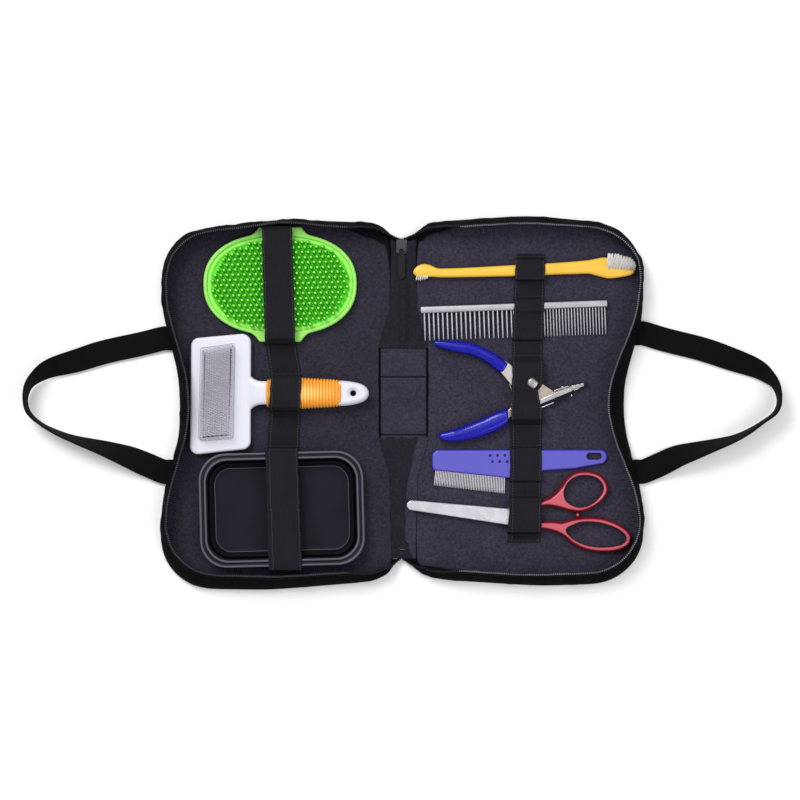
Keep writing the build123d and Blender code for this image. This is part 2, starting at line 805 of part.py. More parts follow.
with BuildPart() as clipper_pivot_pin:
    with BuildSketch(Plane.XY.offset(clip_z)):
        with Locations(clip_pivot):
            Circle(clip_pin_r)
    extrude(amount=2 * clip_plate_t + 2 * run_gap)
    with BuildSketch(Plane.XY.offset(lever_z + clip_plate_t + run_gap)):
        with Locations(clip_pivot):
            Circle(2 * clip_pin_r)
    extrude(amount=1.2)
write(clipper_pivot_pin, "clipper_pivot_pin")

for outer, inner, plate, plate_z, label in (
    (upper_outer, upper_inner, lever_outline, lever_z, "clipper_upper_grip"),
    (lower_outer, lower_inner, frame_outline, clip_z, "clipper_lower_grip"),
):
    with BuildPart() as dipped_grip:
        extrude(grip_plan(outer, inner), amount=clip_grip_t)
        chamfer(dipped_grip.faces().sort_by(Axis.Z)[-1].edges(), length=2.0)
        with BuildSketch(Plane.XY.offset(plate_z)):
            Polygon(*plate, align=None)
        extrude(amount=clip_plate_t, mode=Mode.SUBTRACT)
    write(dipped_grip, label)

# The blade slides on the frame towards its tip, and a screw holds its guard
blade_turn = 10.4
blade_l = 22.0
blade_w = 6.0
blade_t = 1.2
blade_from = 12.0
blade_z = clip_z + clip_plate_t + run_gap
blade_plane = turned((clip_pivot[0], clip_pivot[1] - 3.0, blade_z), blade_turn)
with BuildPart() as clipper_blade:
    with BuildSketch(blade_plane):
        with Locations((blade_from + blade_l / 2, 0)):
            Rectangle(blade_l, blade_w)
    extrude(amount=blade_t)
write(clipper_blade, "clipper_blade")

knob_r = 4.2
knob_l = 9.0
knob_foot = (135.6, 16.2, clip_z + clip_plate_t + knob_r)
with BuildPart() as clipper_blade_screw:
    with BuildSketch(Plane(origin=knob_foot, x_dir=(0, 0, 1), z_dir=(-0.8, 0.6, 0))):
        Circle(knob_r)
    extrude(amount=knob_l)
write(clipper_blade_screw, "clipper_blade_screw")

spring_w = 5.0
spring_t = 0.8
with BuildPart() as clipper_spring:
    with BuildSketch(Plane.XY.offset(clip_z + 0.5)):
        with BuildLine():
            FilletPolyline((105.4, 19.4), (109.0, 8.0), (107.0, -2.6), radius=3.0)
        trace(line_width=spring_t)
    extrude(amount=spring_w)
write(clipper_spring, "clipper_spring")

# Flea comb: a flat tapered handle with a slot and a block of close steel teeth
flea_t = 3.5
flea_outline = [
    (32.5, -45.8), (203.5, -45.8), (203.5, -59.5), (170.0, -65.5), (138.5, -67.5),
    (105.5, -75.0), (29.5, -67.0), (28.0, -62.0), (28.0, -50.5),
]
flea_slot = (190.0, -52.6)
flea_slot_l = 15.0
flea_slot_w = 6.4
flea_block = [(31.5, -66.5), (101.5, -74.0), (100.5, -90.0), (30.5, -82.0)]
flea_tooth_t = 1.4
flea_pitch = 2.0
flea_gap = 0.7
flea_gap_l = 14.0
dimple_spot = (94.0, -54.5)
dimple_r = 1.3
dimple_depth = 0.8

with BuildPart() as flea_comb_handle:
    with BuildSketch(Plane.XY.offset(tool_z)) as flea_plan:
        Polygon(*flea_outline, align=None)
        with Locations(flea_slot):
            SlotOverall(flea_slot_l, flea_slot_w, mode=Mode.SUBTRACT)
    extrude(amount=flea_t)
    with BuildSketch(Plane.XY.offset(tool_z + flea_t)):
        with Locations(dimple_spot):
            with GridLocations(8.0, 6.0, 3, 2):
                Circle(dimple_r)
    extrude(amount=-dimple_depth, mode=Mode.SUBTRACT)
    with BuildSketch(Plane.XY.offset(tool_z + (flea_t - flea_tooth_t) / 2)):
        Polygon(*flea_block, align=None)
    extrude(amount=flea_tooth_t, mode=Mode.SUBTRACT)
write(flea_comb_handle, "flea_comb_handle")

with BuildPart() as flea_comb_teeth:
    with BuildSketch(Plane.XY.offset(tool_z + (flea_t - flea_tooth_t) / 2)):
        Polygon(*flea_block, align=None)
    extrude(amount=flea_tooth_t)
    tip_left = flea_block[3]
    tip_right = flea_block[2]
    slot_count = int((tip_right[0] - tip_left[0]) / flea_pitch) - 2
    tip_mid = ((tip_left[0] + tip_right[0]) / 2, (tip_left[1] + tip_right[1]) / 2, tool_z)
    with BuildSketch(turned(tip_mid, -6.3)):
        with GridLocations(flea_pitch, 1, slot_count, 1):
            Rectangle(flea_gap, flea_gap_l)
    extrude(amount=flea_t, mode=Mode.SUBTRACT)
write(flea_comb_teeth, "flea_comb_teeth")

# Scissors: two halves that turn on one screw; the lower blade belongs to the upper ring
scissors_pivot = (108.5, -112.0)
scissors_screw_r = 2.6
scissors_blade_t = 1.8
scissors_grip_t = 8.0
lower_blade_z = tool_z + 2.1
upper_blade_z = lower_blade_z + scissors_blade_t + run_gap
upper_ring = (182.0, -88.0)
upper_ring_long = 24.0
upper_ring_short = 19.0
upper_ring_turn = 38.0
lower_ring_short = 16.5
lower_ring_turn = -14.0
ring_band = 5.0
blade_a = [
    (10.0, -101.5), (14.0, -97.0), (102.0, -104.5), (118.0, -104.0), (150.0, -96.5),
    (150.0, -103.5), (118.0, -117.0), (103.0, -121.0), (12.0, -106.0),
]
blade_b = [
    (10.0, -101.5), (14.0, -97.0), (102.0, -104.5), (118.0, -108.0), (150.0, -118.0),
    (150.0, -124.5), (118.0, -119.5), (103.0, -121.0), (12.0, -106.0),
]

for outline, plate_z, label in (
    (blade_a, lower_blade_z, "scissors_lower_blade"),
    (blade_b, upper_blade_z, "scissors_upper_blade"),
):
    with BuildPart() as blade:
        with BuildSketch(Plane.XY.offset(plate_z)) as blade_plan:
            Polygon(*outline, align=None)
            with Locations(scissors_pivot):
                Circle(scissors_screw_r + (0.05 if plate_z == upper_blade_z else 0), mode=Mode.SUBTRACT)
        extrude(amount=scissors_blade_t)
    write(blade, label)

for centre, long_r, short_r, turn, shank, outline, plate_z, label in (
    (
        upper_ring, upper_ring_long, upper_ring_short, upper_ring_turn,
        [(134.5, -97.0), (150.0, -94.0), (164.0, -80.0), (170.0, -104.0), (150.0, -104.5), (134.5, -104.5)],
        blade_a, lower_blade_z, "scissors_upper_handle",
    ),
    (
        lower_ring, lower_ring_long, lower_ring_short, lower_ring_turn,
        [(135.5, -117.0), (152.0, -116.5), (172.0, -113.5), (170.0, -140.0), (152.0, -127.5), (135.5, -125.5)],
        blade_b, upper_blade_z, "scissors_lower_handle",
    ),
):
    with BuildPart() as ring_handle:
        with BuildSketch(Plane.XY.offset(tool_z)):
            Polygon(*shank, align=None)
        extrude(amount=scissors_grip_t)
        with BuildSketch(turned((centre[0], centre[1], tool_z), turn)):
            Ellipse(long_r, short_r)
        extrude(amount=scissors_grip_t)
        with BuildSketch(turned((centre[0], centre[1], tool_z), turn)):
            Ellipse(long_r - ring_band, short_r - ring_band)
        extrude(amount=scissors_grip_t, mode=Mode.SUBTRACT)
        with BuildSketch(Plane.XY.offset(plate_z)):
            Polygon(*outline, align=None)
        extrude(amount=scissors_blade_t, mode=Mode.SUBTRACT)
    write(ring_handle, label)

with BuildPart() as scissors_screw:
    with BuildSketch(Plane.XY.offset(lower_blade_z)):
        with Locations(scissors_pivot):
            Circle(scissors_screw_r)
    extrude(amount=2 * scissors_blade_t + 2 * run_gap)
    with BuildSketch(Plane.XY.offset(upper_blade_z + scissors_blade_t + run_gap)):
        with Locations(scissors_pivot):
            Circle(1.6 * scissors_screw_r)
    extrude(amount=1.0)
write(scissors_screw, "scissors_screw")

bumper_spot = (177.0, -110.6)
bumper_r = 1.5
with BuildPart() as scissors_bumper:
    with BuildSketch(Plane.XY.offset(tool_z + 2.5)):
        with Locations(bumper_spot):
            Circle(bumper_r)
    extrude(amount=3.0)
write(scissors_bumper, "scissors_bumper")

# Right elastic strap
over_brush = tool_z + brush_t + soft_gap + strap_t / 2
over_comb = tool_z + comb_d + soft_gap + strap_t / 2
over_teeth = comb_z + wide_tooth_d / 2 + soft_gap + strap_t / 2
over_clippers = lever_z + clip_plate_t + run_gap + 1.2 + soft_gap + strap_t / 2
over_flea = tool_z + flea_t + soft_gap + strap_t / 2
over_scissors = tool_z + scissors_grip_t + soft_gap + strap_t / 2
right_route = [
    (149.5, low),
    (143.8, low),
    (142.6, over_brush),
    (123.8, over_brush),
    (122.4, low),
    (105.0, low),
    (103.0, over_comb),
    (92.5, over_comb),
    (89.0, over_teeth),
    (64.5, over_teeth),
    (62.5, low),
    (46.0, low),
    (40.0, over_clippers),
    (-15.0, over_clippers),
    (-21.0, low),
    (-43.6, low),
    (-44.6, over_flea),
    (-76.6, over_flea),
    (-78.2, low),
    (-93.0, low),
    (-95.0, over_scissors),
    (-127.5, over_scissors),
    (-129.5, low),
    (-138.5, low),
]
# The blade screw pushes the strap's edge aside
nick_x = 124.3
nick_top = 27.0
nick_bottom = 8.0
nick_slope = 12.0
with BuildPart() as right_strap:
    extrude(ribbon(right_strap_x, right_route, 0.9), amount=strap_w / 2, both=True)
    with BuildSketch(Plane.XY.offset(base_z + strap_t)):
        Polygon(
            (nick_x, nick_top),
            (nick_x, nick_bottom),
            (right_strap_x + strap_w, nick_bottom - nick_slope),
            (right_strap_x + strap_w, nick_top + nick_slope),
            align=None,
        )
    extrude(amount=meet_z, mode=Mode.SUBTRACT)
write(right_strap, "right_strap")
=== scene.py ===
"""Dresses the pet grooming kit: an open bone-shaped zipped case with eight tools under elastic straps.

Lengths are millimetres in the shared frame, and make_piece turns them into metres. Materials use metres.
"""

from math import atan2, cos, hypot, pi, radians, sin, tan

import bpy
import numpy as np
from mathutils.geometry import tessellate_polygon
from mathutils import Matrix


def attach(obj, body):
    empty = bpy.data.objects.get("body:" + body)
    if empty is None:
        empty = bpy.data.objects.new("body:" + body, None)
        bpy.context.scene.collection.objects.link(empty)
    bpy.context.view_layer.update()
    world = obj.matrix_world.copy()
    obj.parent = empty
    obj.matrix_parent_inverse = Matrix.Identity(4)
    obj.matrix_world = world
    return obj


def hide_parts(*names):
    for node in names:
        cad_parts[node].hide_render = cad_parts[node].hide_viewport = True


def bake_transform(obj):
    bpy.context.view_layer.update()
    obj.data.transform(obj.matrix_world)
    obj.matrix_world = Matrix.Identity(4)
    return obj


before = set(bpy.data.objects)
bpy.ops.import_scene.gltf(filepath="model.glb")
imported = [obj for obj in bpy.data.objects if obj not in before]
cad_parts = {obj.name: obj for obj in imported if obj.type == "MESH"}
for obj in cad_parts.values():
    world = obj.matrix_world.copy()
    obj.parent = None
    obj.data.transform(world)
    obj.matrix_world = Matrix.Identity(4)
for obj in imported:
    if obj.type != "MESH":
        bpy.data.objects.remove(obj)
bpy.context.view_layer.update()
rng = np.random.default_rng(11)
MM = 0.001
UP = np.array((0.0, 0.0, 1.0))

# The case, with the sizes of the part's source
base_z = 4.0
meet_z = 27.0
lobe_edge, lobe_x, waist_x, waist_half, lobe_y, crown_x = 12.0, 243.0, 221.0, 22.0, 94.0, 125.0
leaf_top, leaf_bottom, corner_drop, inner_slope = 187.4, -187.4, 5.0, 37.0
spine_half, spine_top, spine_bottom = 23.0, 58.0, -35.0
lean_top, lean_side, lean_bottom = 8.0, 7.0, 15.0
teeth_z, teeth_inset = 25.15, 1.3
low_wall = 0.62
upper_gusset, lower_gusset = (55.5, 163.6), (-154.6, -33.5)


# Shader maths
class Wire:
    """A shader socket or a number that Python's operators turn into Math nodes."""

    def __init__(self, tree, socket):
        self.tree = tree
        self.socket = socket

    def node(self, kind, settings=None, inputs=None, out=0, stops=None):
        """Any node: its type, its settings, the values or links of its sockets, and which output is used."""
        made = self.tree.nodes.new(kind)
        for key, value in (settings or {}).items():
            setattr(made, key, value)
        if stops:
            ramp = made.color_ramp
            while len(ramp.elements) < len(stops):
                ramp.elements.new(0.5)
            for element, (place, colour) in zip(ramp.elements, stops):
                element.position = place
                element.color = tuple(colour) + (1.0,)
        for key, value in (inputs or {}).items():
            socket = made.inputs[key]
            if isinstance(value, Wire):
                self.tree.links.new(value.socket, socket)
            else:
                socket.default_value = value
        return Wire(self.tree, made.outputs[out])

    def maths(self, operation, *values, clamp=False):
        """One Math node on sockets or numbers."""
        return self.node(
            "ShaderNodeMath", {"operation": operation, "use_clamp": clamp}, dict(enumerate(values)),
        )

    def __add__(self, other):
        return self.maths("ADD", self, other)

    __radd__ = __add__

    def __sub__(self, other):
        return self.maths("SUBTRACT", self, other)

    def __rsub__(self, other):
        return self.maths("SUBTRACT", other, self)

    def __mul__(self, other):
        return self.maths("MULTIPLY", self, other)

    __rmul__ = __mul__

    def __truediv__(self, other):
        return self.maths("DIVIDE", self, other)

    def __rtruediv__(self, other):
        return self.maths("DIVIDE", other, self)

    def clamp(self):
        return self.maths("ADD", self, 0.0, clamp=True)

    def wave(self, pitch, phase=0.0):
        """A sine between 0 and 1 that repeats every pitch metres."""
        return self.maths("SINE", self * (2 * pi / pitch) + phase) * 0.5 + 0.5

    def step(self, low, high):
        """0 below low and 1 above high, smooth between them."""
        return self.node(
            "ShaderNodeMapRange",
            {"interpolation_type": "SMOOTHSTEP"},
            {"Value": self, "From Min": low, "From Max": high},
        )

    def near(self, centre, half, soft):
        """1 within half of centre, falling to 0 over soft."""
        return 1.0 - self.maths("ABSOLUTE", self - centre).step(half, half + soft)


def linear(hex_colour):
    """A linear colour from a six-digit screen colour."""
    parts = [int(hex_colour[i : i + 2], 16) / 255 for i in (0, 2, 4)]
    return tuple(c / 12.92 if c <= 0.04045 else ((c + 0.055) / 1.055) ** 2.4 for c in parts)


class Finish:
    """A material under construction: coordinates, noise, mixing and the final shader."""

    def __init__(self, name, cloth=False):
        self.material = bpy.data.materials.new(name)
        self.material.use_nodes = True
        self.tree = self.material.node_tree
        self.shader = self.tree.nodes["Principled BSDF"]
        self.start = Wire(self.tree, None)
        self.spot = self.start.node("ShaderNodeTexCoord", out="Object")
        self.flat = self.start.node("ShaderNodeUVMap", {"uv_map": "cut"}, out="UV") if cloth else self.spot
        parts = self.tree.nodes.new("ShaderNodeSeparateXYZ")
        self.tree.links.new(self.flat.socket, parts.inputs[0])
        self.x, self.y, self.z = (Wire(self.tree, parts.outputs[i]) for i in range(3))

    def noise(self, size, detail=3.0, rough=0.5, on=None):
        """Cloudy noise around 0.5 whose lumps are size metres across."""
        return self.start.node(
            "ShaderNodeTexNoise",
            inputs={"Vector": on or self.spot, "Scale": 1.0 / size, "Detail": detail, "Roughness": rough},
            out="Fac",
        )

    def stretched(self, sx, sy, sz, on=None):
        """The coordinates scaled along each axis, so that noise on them is drawn out."""
        return self.start.node(
            "ShaderNodeMapping", inputs={"Vector": on or self.flat, "Scale": (sx, sy, sz)}, out="Vector"
        )

    def mix(self, factor, first, second):
        """Colour between first and second by factor."""
        made = self.tree.nodes.new("ShaderNodeMix")
        made.data_type = "RGBA"
        for index, value in ((0, factor), (6, first), (7, second)):
            if isinstance(value, Wire):
                self.tree.links.new(value.socket, made.inputs[index])
            elif index:
                made.inputs[index].default_value = tuple(value) + (1.0,)
            else:
                made.inputs[index].default_value = value
        return Wire(self.tree, made.outputs[2])

    def finish(self, colour, roughness, height=None, depth=0.0002, metallic=0.0, **constants):
        """Wires colour, roughness, metallic and a bump of depth metres into the shader."""
        for key, value in (("Base Color", colour), ("Roughness", roughness), ("Metallic", metallic)):
            socket = self.shader.inputs[key]
            if isinstance(value, Wire):
                self.tree.links.new(value.socket, socket)
            elif key == "Base Color":
                socket.default_value = tuple(value) + (1.0,)
            else:
                socket.default_value = value
        if height is not None:
            bump = self.start.node(
                "ShaderNodeBump", inputs={"Height": height, "Distance": depth, "Strength": 1.0},
                out="Normal",
            )
            self.tree.links.new(bump.socket, self.shader.inputs["Normal"])
        for key, value in constants.items():
            name = key.replace("_", " ").title().replace("Ior", "IOR")
            self.shader.inputs[name].default_value = value
        return self.material


def woven(
    name, dark, light, pitch, cloth=True, depth=0.00012, sheen=0.0, rough=0.9, stitches=(), fade=0.5,
    bands=(), spec=0.1,
):
    """Plain-weave cloth: over-and-under threads of the given pitch, slubs, lint and rows of stitches.

    A row of stitches is (distance across the cloth, stitch length, colour), and a band is a sunk seam
    line (y, half its width, colour), all in millimetres.
    """
    f = Finish(name, cloth)
    over = f.x.wave(2 * pitch) * f.y.wave(pitch) + (1.0 - f.x.wave(2 * pitch)) * f.y.wave(pitch, pi)
    slub = f.noise(0.9 * pitch, 2.0, 0.6)
    cloud = f.noise(0.035, 4.0, 0.55)
    mottle = f.noise(0.0024, 2.0, 0.6)
    lint = f.noise(0.0016, 1.0).step(0.66, 0.74)
    level = (over * 0.4 + slub * 0.35 + cloud * fade + mottle * 1.1 - 0.65).clamp()
    colour = f.mix(level, linear(dark), linear(light))
    colour = f.mix(lint * 0.06, colour, (0.2, 0.2, 0.21))
    height = over * 0.7 + slub * 0.6
    for place, half, shade in bands:
        line = f.y.near(place * MM, half * MM, 0.5 * MM)
        colour = f.mix(line * 0.85, colour, linear(shade))
        height = height - line * 2.0
    for across, length, shade in stitches:
        dash = f.x.wave(length * MM).step(0.22, 0.4) * f.y.near(across * MM, 0.28 * MM, 0.25 * MM)
        colour = f.mix(dash, colour, linear(shade))
        height = height + dash * 2.0
    roughness = 0.06 * cloud + (rough - 0.04)
    return f.finish(
        colour, roughness, height, depth, sheen_weight=sheen, sheen_roughness=0.5, specular_ior_level=spec
    )


def ribbed(
    name, dark, light, pitch, along=True, depth=0.0002, chevron=0.0, rough=0.8, edge=None, spec=0.12,
):
    """Ribbed tape, elastic or webbing: ribs across or along it, broken into threads, slanted by chevron."""
    f = Finish(name, True)
    across, run = (f.x, f.y) if along else (f.y, f.x)
    slant = run.maths("PINGPONG", run, 0.003) * chevron
    rib = (across + slant).wave(pitch)
    thread = run.wave(pitch * 0.8)
    slub = f.noise(pitch * 0.8, 2.0, 0.6)
    cloud = f.noise(0.02, 3.0)
    level = (rib * 0.4 + thread * 0.2 + slub * 0.35 + cloud * 0.3 - 0.15).clamp()
    colour = f.mix(level, linear(dark), linear(light))
    height = rib + thread * 0.35 + slub * 0.4
    if edge:
        seam = f.y.near(edge[0] * MM, 0.3 * MM, 0.2 * MM) + f.y.near(edge[1] * MM, 0.3 * MM, 0.2 * MM)
        dash = f.x.wave(0.0028).step(0.25, 0.4) * seam.clamp()
        colour = f.mix(dash, colour, linear("3c3c40"))
        height = height + dash
    return f.finish(colour, rough, height, depth, specular_ior_level=spec)


def moulded(
    name, deep, high, rough=0.35, grain=0.0006, depth=0.00003, coat=0.0, wear=0.15, soft=0.0, rise=None,
    spec=0.5,
):
    """Moulded plastic or rubber: fine grain, faint flow marks and small scuffs.

    rise is (low, high, colour): a painted highlight, whose lighter colour comes in between those two heights,
    in millimetres, so that the part's tops look lit.
    """
    f = Finish(name)
    cloud = f.noise(0.03, 4.0)
    fine = f.noise(grain, 2.0, 0.6)
    scuff = f.noise(0.004, 6.0, 0.75, on=f.stretched(1.0, 5.0, 1.0)).step(0.62, 0.72)
    colour = f.mix((cloud * 0.7 + fine * 0.3).clamp(), linear(deep), linear(high))
    if rise:
        # Painted highlight: the part's tops take the lighter rise colour.
        colour = f.mix(f.z.step(rise[0] * MM, rise[1] * MM), colour, linear(rise[2]))
    roughness = (cloud * 0.12 + scuff * wear + (rough - 0.06)).clamp()
    return f.finish(
        colour,
        roughness,
        fine + scuff * 0.3,
        depth,
        coat_weight=coat,
        coat_roughness=0.08,
        specular_ior_level=spec,
        subsurface_weight=soft,
        subsurface_scale=0.002,
    )


def steel(name, dark, light, rough=0.2, brushed=(1.0, 30.0, 1.0), depth=0.00001):
    """Bright steel: brushing lines drawn out along one axis, smudges and fine scratches."""
    f = Finish(name)
    lines = f.noise(0.004, 5.0, 0.7, on=f.stretched(*brushed, on=f.spot))
    smudge = f.noise(0.012, 4.0)
    scratch = f.noise(0.003, 2.0, 0.5, on=f.stretched(0.5, 14.0, 1.0, on=f.spot)).step(0.68, 0.72)
    colour = f.mix((lines * 0.6 + smudge * 0.4).clamp(), linear(dark), linear(light))
    roughness = (lines * 0.16 + smudge * 0.14 + scratch * 0.1 + (rough - 0.15)).clamp()
    return f.finish(colour, roughness, lines + scratch, depth, metallic=1.0)


# Meshes
class Skin:
    """Points, faces and their places on the cloth, gathered for one piece."""

    def __init__(self):
        self.points, self.faces, self.places, self.count = [], [], [], 0

    def grid(self, p, wrap=True, loop=False, caps=True, flip=None):
        """Adds a surface given as a grid: p[i, j] is station i along it and point j round its section.

        Its cut coordinates are the distances along and round it. A closed surface is turned outwards
        by the sign of the volume it holds.
        """
        n, m = p.shape[:2]
        closed_u = np.concatenate([p, p[:1]]) if loop else p
        along = np.linalg.norm(np.diff(closed_u, axis=0), axis=2).mean(axis=1)
        closed_v = np.concatenate([p, p[:, :1]], axis=1) if wrap else p
        round_it = np.linalg.norm(np.diff(closed_v, axis=1), axis=2).mean(axis=0)
        u = np.concatenate([[0], np.cumsum(along)])
        v = np.concatenate([[0], np.cumsum(round_it)])
        i, j = np.meshgrid(np.arange(n if loop else n - 1), np.arange(m if wrap else m - 1), indexing="ij")
        i2, j2 = (i + 1) % n, (j + 1) % m
        quads = np.stack([i * m + j, i2 * m + j, i2 * m + j2, i * m + j2], -1).reshape(-1, 4)
        places = np.stack(
            [
                np.stack([u[i], v[j]], -1),
                np.stack([u[i + 1], v[j]], -1),
                np.stack([u[i + 1], v[j + 1]], -1),
                np.stack([u[i], v[j + 1]], -1),
            ],
            -2,
        ).reshape(-1, 4, 2)
        flat = p.reshape(-1, 3)
        if flip is None:
            a, b, c, d = (flat[quads[:, k]] for k in range(4))
            mid = flat.mean(axis=0)
            volume = np.einsum("ij,ij->i", a - mid, np.cross(b - mid, c - mid)).sum()
            volume += np.einsum("ij,ij->i", a - mid, np.cross(c - mid, d - mid)).sum()
            flip = volume < 0
        step = -1 if flip else 1
        self.faces += (quads[:, ::step] + self.count).tolist()
        self.places.append(places[:, ::step].reshape(-1, 2))
        if caps and wrap and not loop:
            for station, turn in ((0, 1), (n - 1, -1)):
                ring = (np.arange(m) + station * m)[:: turn * step]
                self.faces.append((ring + self.count).tolist())
                spread = v[:-1][:: turn * step]
                self.places.append(np.stack([np.full(m, u[station if station == 0 else -1]), spread], -1))
        self.points.append(flat)
        self.count += len(flat)
        return self

    def faces_of(self, points, faces, places=None):
        """Adds points with faces that already look outwards; places default to the plan view."""
        points = np.asarray(points, float).reshape(-1, 3)
        self.faces += [[k + self.count for k in face] for face in faces]
        flat = points[:, :2] if places is None else places
        self.places.append(np.concatenate([flat[list(face)] for face in faces]))
        self.points.append(points)
        self.count += len(points)
        return self

    def copies(self, points, faces, frames, origins):
        """Adds one small shape many times: frames[k] holds its three axes as rows, origins[k] its place."""
        points = np.asarray(points, float)
        placed = np.einsum("pi,kij->kpj", points, frames) + origins[:, None, :]
        shift = np.arange(len(origins)) * len(points) + self.count
        for face in faces:
            self.faces += (shift[:, None] + np.array(face)).tolist()
            self.places.append(placed[:, list(face), :2].reshape(-1, 2))
        self.points.append(placed.reshape(-1, 3))
        self.count += placed.shape[0] * placed.shape[1]
        return self


def tube_faces(m, n):
    """The faces between n rings of m points, with both ends closed."""
    k, i = np.meshgrid(np.arange(n - 1), np.arange(m), indexing="ij")
    j = (i + 1) % m
    quads = np.stack([m * k + i, m * k + j, m * k + m + j, m * k + m + i], -1).reshape(-1, 4)
    return quads.tolist() + [list(range(m * (n - 1), m * n)), list(range(m - 1, -1, -1))]


def stud(ring, levels):
    """A small closed shape: at each level, (scale, height) or (x scale, y scale, height), the scaled ring."""
    rows = [np.column_stack([ring * level[:-1], np.full(len(ring), level[-1])]) for level in levels]
    return np.vstack(rows), tube_faces(len(ring), len(levels))


def circle(x, y, r, count, ry=None):
    """count plan points x + r·cos t, y + ry·sin t."""
    t = np.linspace(0, 2 * pi, count, endpoint=False)
    return np.column_stack([x + r * np.cos(t), y + (ry or r) * np.sin(t)])


def make_piece(name, skin, finish, rides=None, smooth=38, replaces=()):
    """Puts a skin into a mesh object with its finish, its cut coordinates and its body."""
    mesh = bpy.data.meshes.new(name)
    points = np.concatenate(skin.points) * MM
    mesh.from_pydata(points.tolist(), [], skin.faces)
    layer = mesh.uv_layers.new(name="cut")
    layer.data.foreach_set("uv", (np.concatenate(skin.places) * MM).astype(np.float32).ravel())
    mesh.polygons.foreach_set("use_smooth", np.ones(len(mesh.polygons), bool))
    mesh.set_sharp_from_angle(angle=radians(smooth))
    mesh.materials.append(finish)
    mesh.update()
    piece = bpy.data.objects.new(name, mesh)
    bpy.context.scene.collection.objects.link(piece)
    if rides:
        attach(piece, rides)
    if replaces:
        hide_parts(*replaces)
    return piece


def unit(v):
    """Each vector divided by its length."""
    return v / np.maximum(np.linalg.norm(v, axis=-1, keepdims=True), 1e-9)


def superellipse(count, power=2.0, shift=0.5):
    """count points (cos t, sin t), each raised to 2/power, which squares the circle off as power grows.

    The first point lies a share shift of a step past t = 0.
    """
    t = np.linspace(0, 2 * pi, count, endpoint=False) + shift * 2 * pi / count
    c, s = np.cos(t), np.sin(t)
    return np.stack([np.sign(c) * abs(c) ** (2 / power), np.sign(s) * abs(s) ** (2 / power)], -1)


def sweep(path, half_w, half_h, up=(0, 0, 1), count=16, power=2.0, loop=False):
    """Section points along a path: path + across·half_w·cos t + upright·half_h·sin t at each station."""
    path = np.asarray(path, float)
    if loop:
        ahead = np.roll(path, -1, 0) - np.roll(path, 1, 0)
    else:
        ahead = np.gradient(path, axis=0)
    ahead = unit(ahead)
    up = np.broadcast_to(np.asarray(up, float), path.shape)
    across = unit(np.cross(up, ahead))
    upright = unit(np.cross(ahead, across))
    ring = superellipse(count, power)
    w = np.broadcast_to(half_w, len(path))[:, None, None]
    h = np.broadcast_to(half_h, len(path))[:, None, None]
    sideways = across[:, None] * w * ring[None, :, :1]
    return path[:, None] + sideways + upright[:, None] * h * ring[None, :, 1:]


def rounded(length, radius, n=40, floor=0.04):
    """Stations from 0 to 1 along a body, and a scale that closes it in a quarter circle at both ends."""
    t = 0.5 - 0.5 * np.cos(np.linspace(0, pi, n))
    d = np.minimum(t, 1 - t) * length
    return t, np.sqrt(np.maximum(1 - (1 - np.minimum(d / radius, 1)) ** 2, floor**2))


def smooth_path(points, n):
    """A Catmull-Rom curve through the points, at n even distances along it."""
    p = np.asarray(points, float)
    ext = np.vstack([2 * p[0] - p[1], p, 2 * p[-1] - p[-2]])
    rows = []
    for a, b, c, d in zip(ext, ext[1:], ext[2:], ext[3:]):
        t = np.linspace(0, 1, 24, endpoint=False)[:, None]
        bent = (2 * a - 5 * b + 4 * c - d) * t**2 + (3 * b - a - 3 * c + d) * t**3
        rows.append(0.5 * (2 * b + (c - a) * t + bent))
    fine = np.vstack(rows + [p[-1:]])
    return even(fine, n)


def even(line, n, loop=False):
    """The same line at n even distances."""
    line = np.asarray(line, float)
    if loop:
        line = np.vstack([line, line[:1]])
    s = np.concatenate([[0], np.cumsum(np.linalg.norm(np.diff(line, axis=0), axis=1))])
    at = np.linspace(0, s[-1], n, endpoint=not loop)
    return np.stack([np.interp(at, s, line[:, k]) for k in range(line.shape[1])], -1)


def corner_arc(before, here, after, r, step=None):
    """The arc of radius r that rounds off a corner, as 17 points or as points a step apart."""
    back, ahead = unit(before - here), unit(after - here)
    half = np.arccos(np.clip(back @ ahead, -1, 1)) / 2
    cut = r / tan(half)
    centre = here + unit(back + ahead) * r / sin(half)
    a, b = here + back * cut - centre, here + ahead * cut - centre
    turn = atan2(a[0] * b[1] - a[1] * b[0], a @ b)
    count = max(3, int(abs(turn) * r / step) + 2) if step else 17
    angle = atan2(a[1], a[0]) + turn * np.linspace(0, 1, count)
    return centre + r * np.stack([np.cos(angle), np.sin(angle)], -1)


def round_line(corners, radii, step=1.0):
    """A closed plan outline with its corners rounded, as points a step apart, counter-clockwise."""
    spots = np.asarray(corners, float)
    arcs = []
    for before, here, after, r in zip(np.roll(spots, 1, 0), spots, np.roll(spots, -1, 0), radii):
        back, ahead = unit(before - here), unit(after - here)
        shorter = min(np.linalg.norm(before - here), np.linalg.norm(after - here))
        widest = 0.49 * tan(np.arccos(np.clip(back @ ahead, -1, 1)) / 2) * shorter
        arcs.append(corner_arc(before, here, after, min(r, widest), step))
    return ccw(np.vstack(arcs))


def ccw(line):
    """A plan outline turned counter-clockwise, by the sign of the area that it holds."""
    x, y = line[:, 0], line[:, 1]
    area = (x * np.roll(y, -1) - y * np.roll(x, -1)).sum()
    return line if area > 0 else line[::-1]


def plan_normals(line):
    """Outward normals of a counter-clockwise plan outline."""
    ahead = unit(np.roll(line, -1, 0) - line)
    behind = np.roll(ahead, 1, 0)
    n = unit(ahead + behind)
    return np.stack([n[:, 1], -n[:, 0]], -1)


def edge_band(outline, rows, z0, sign=1):
    """The points of an outline at each row of (inset, height): outline - sign·normal·inset."""
    normals = plan_normals(outline)
    rings = [outline - sign * normals * inset for inset, z in rows]
    levels = [np.full(len(outline), z0 + z) for inset, z in rows]
    return np.stack([np.column_stack(pair) for pair in zip(rings, levels)], 1)


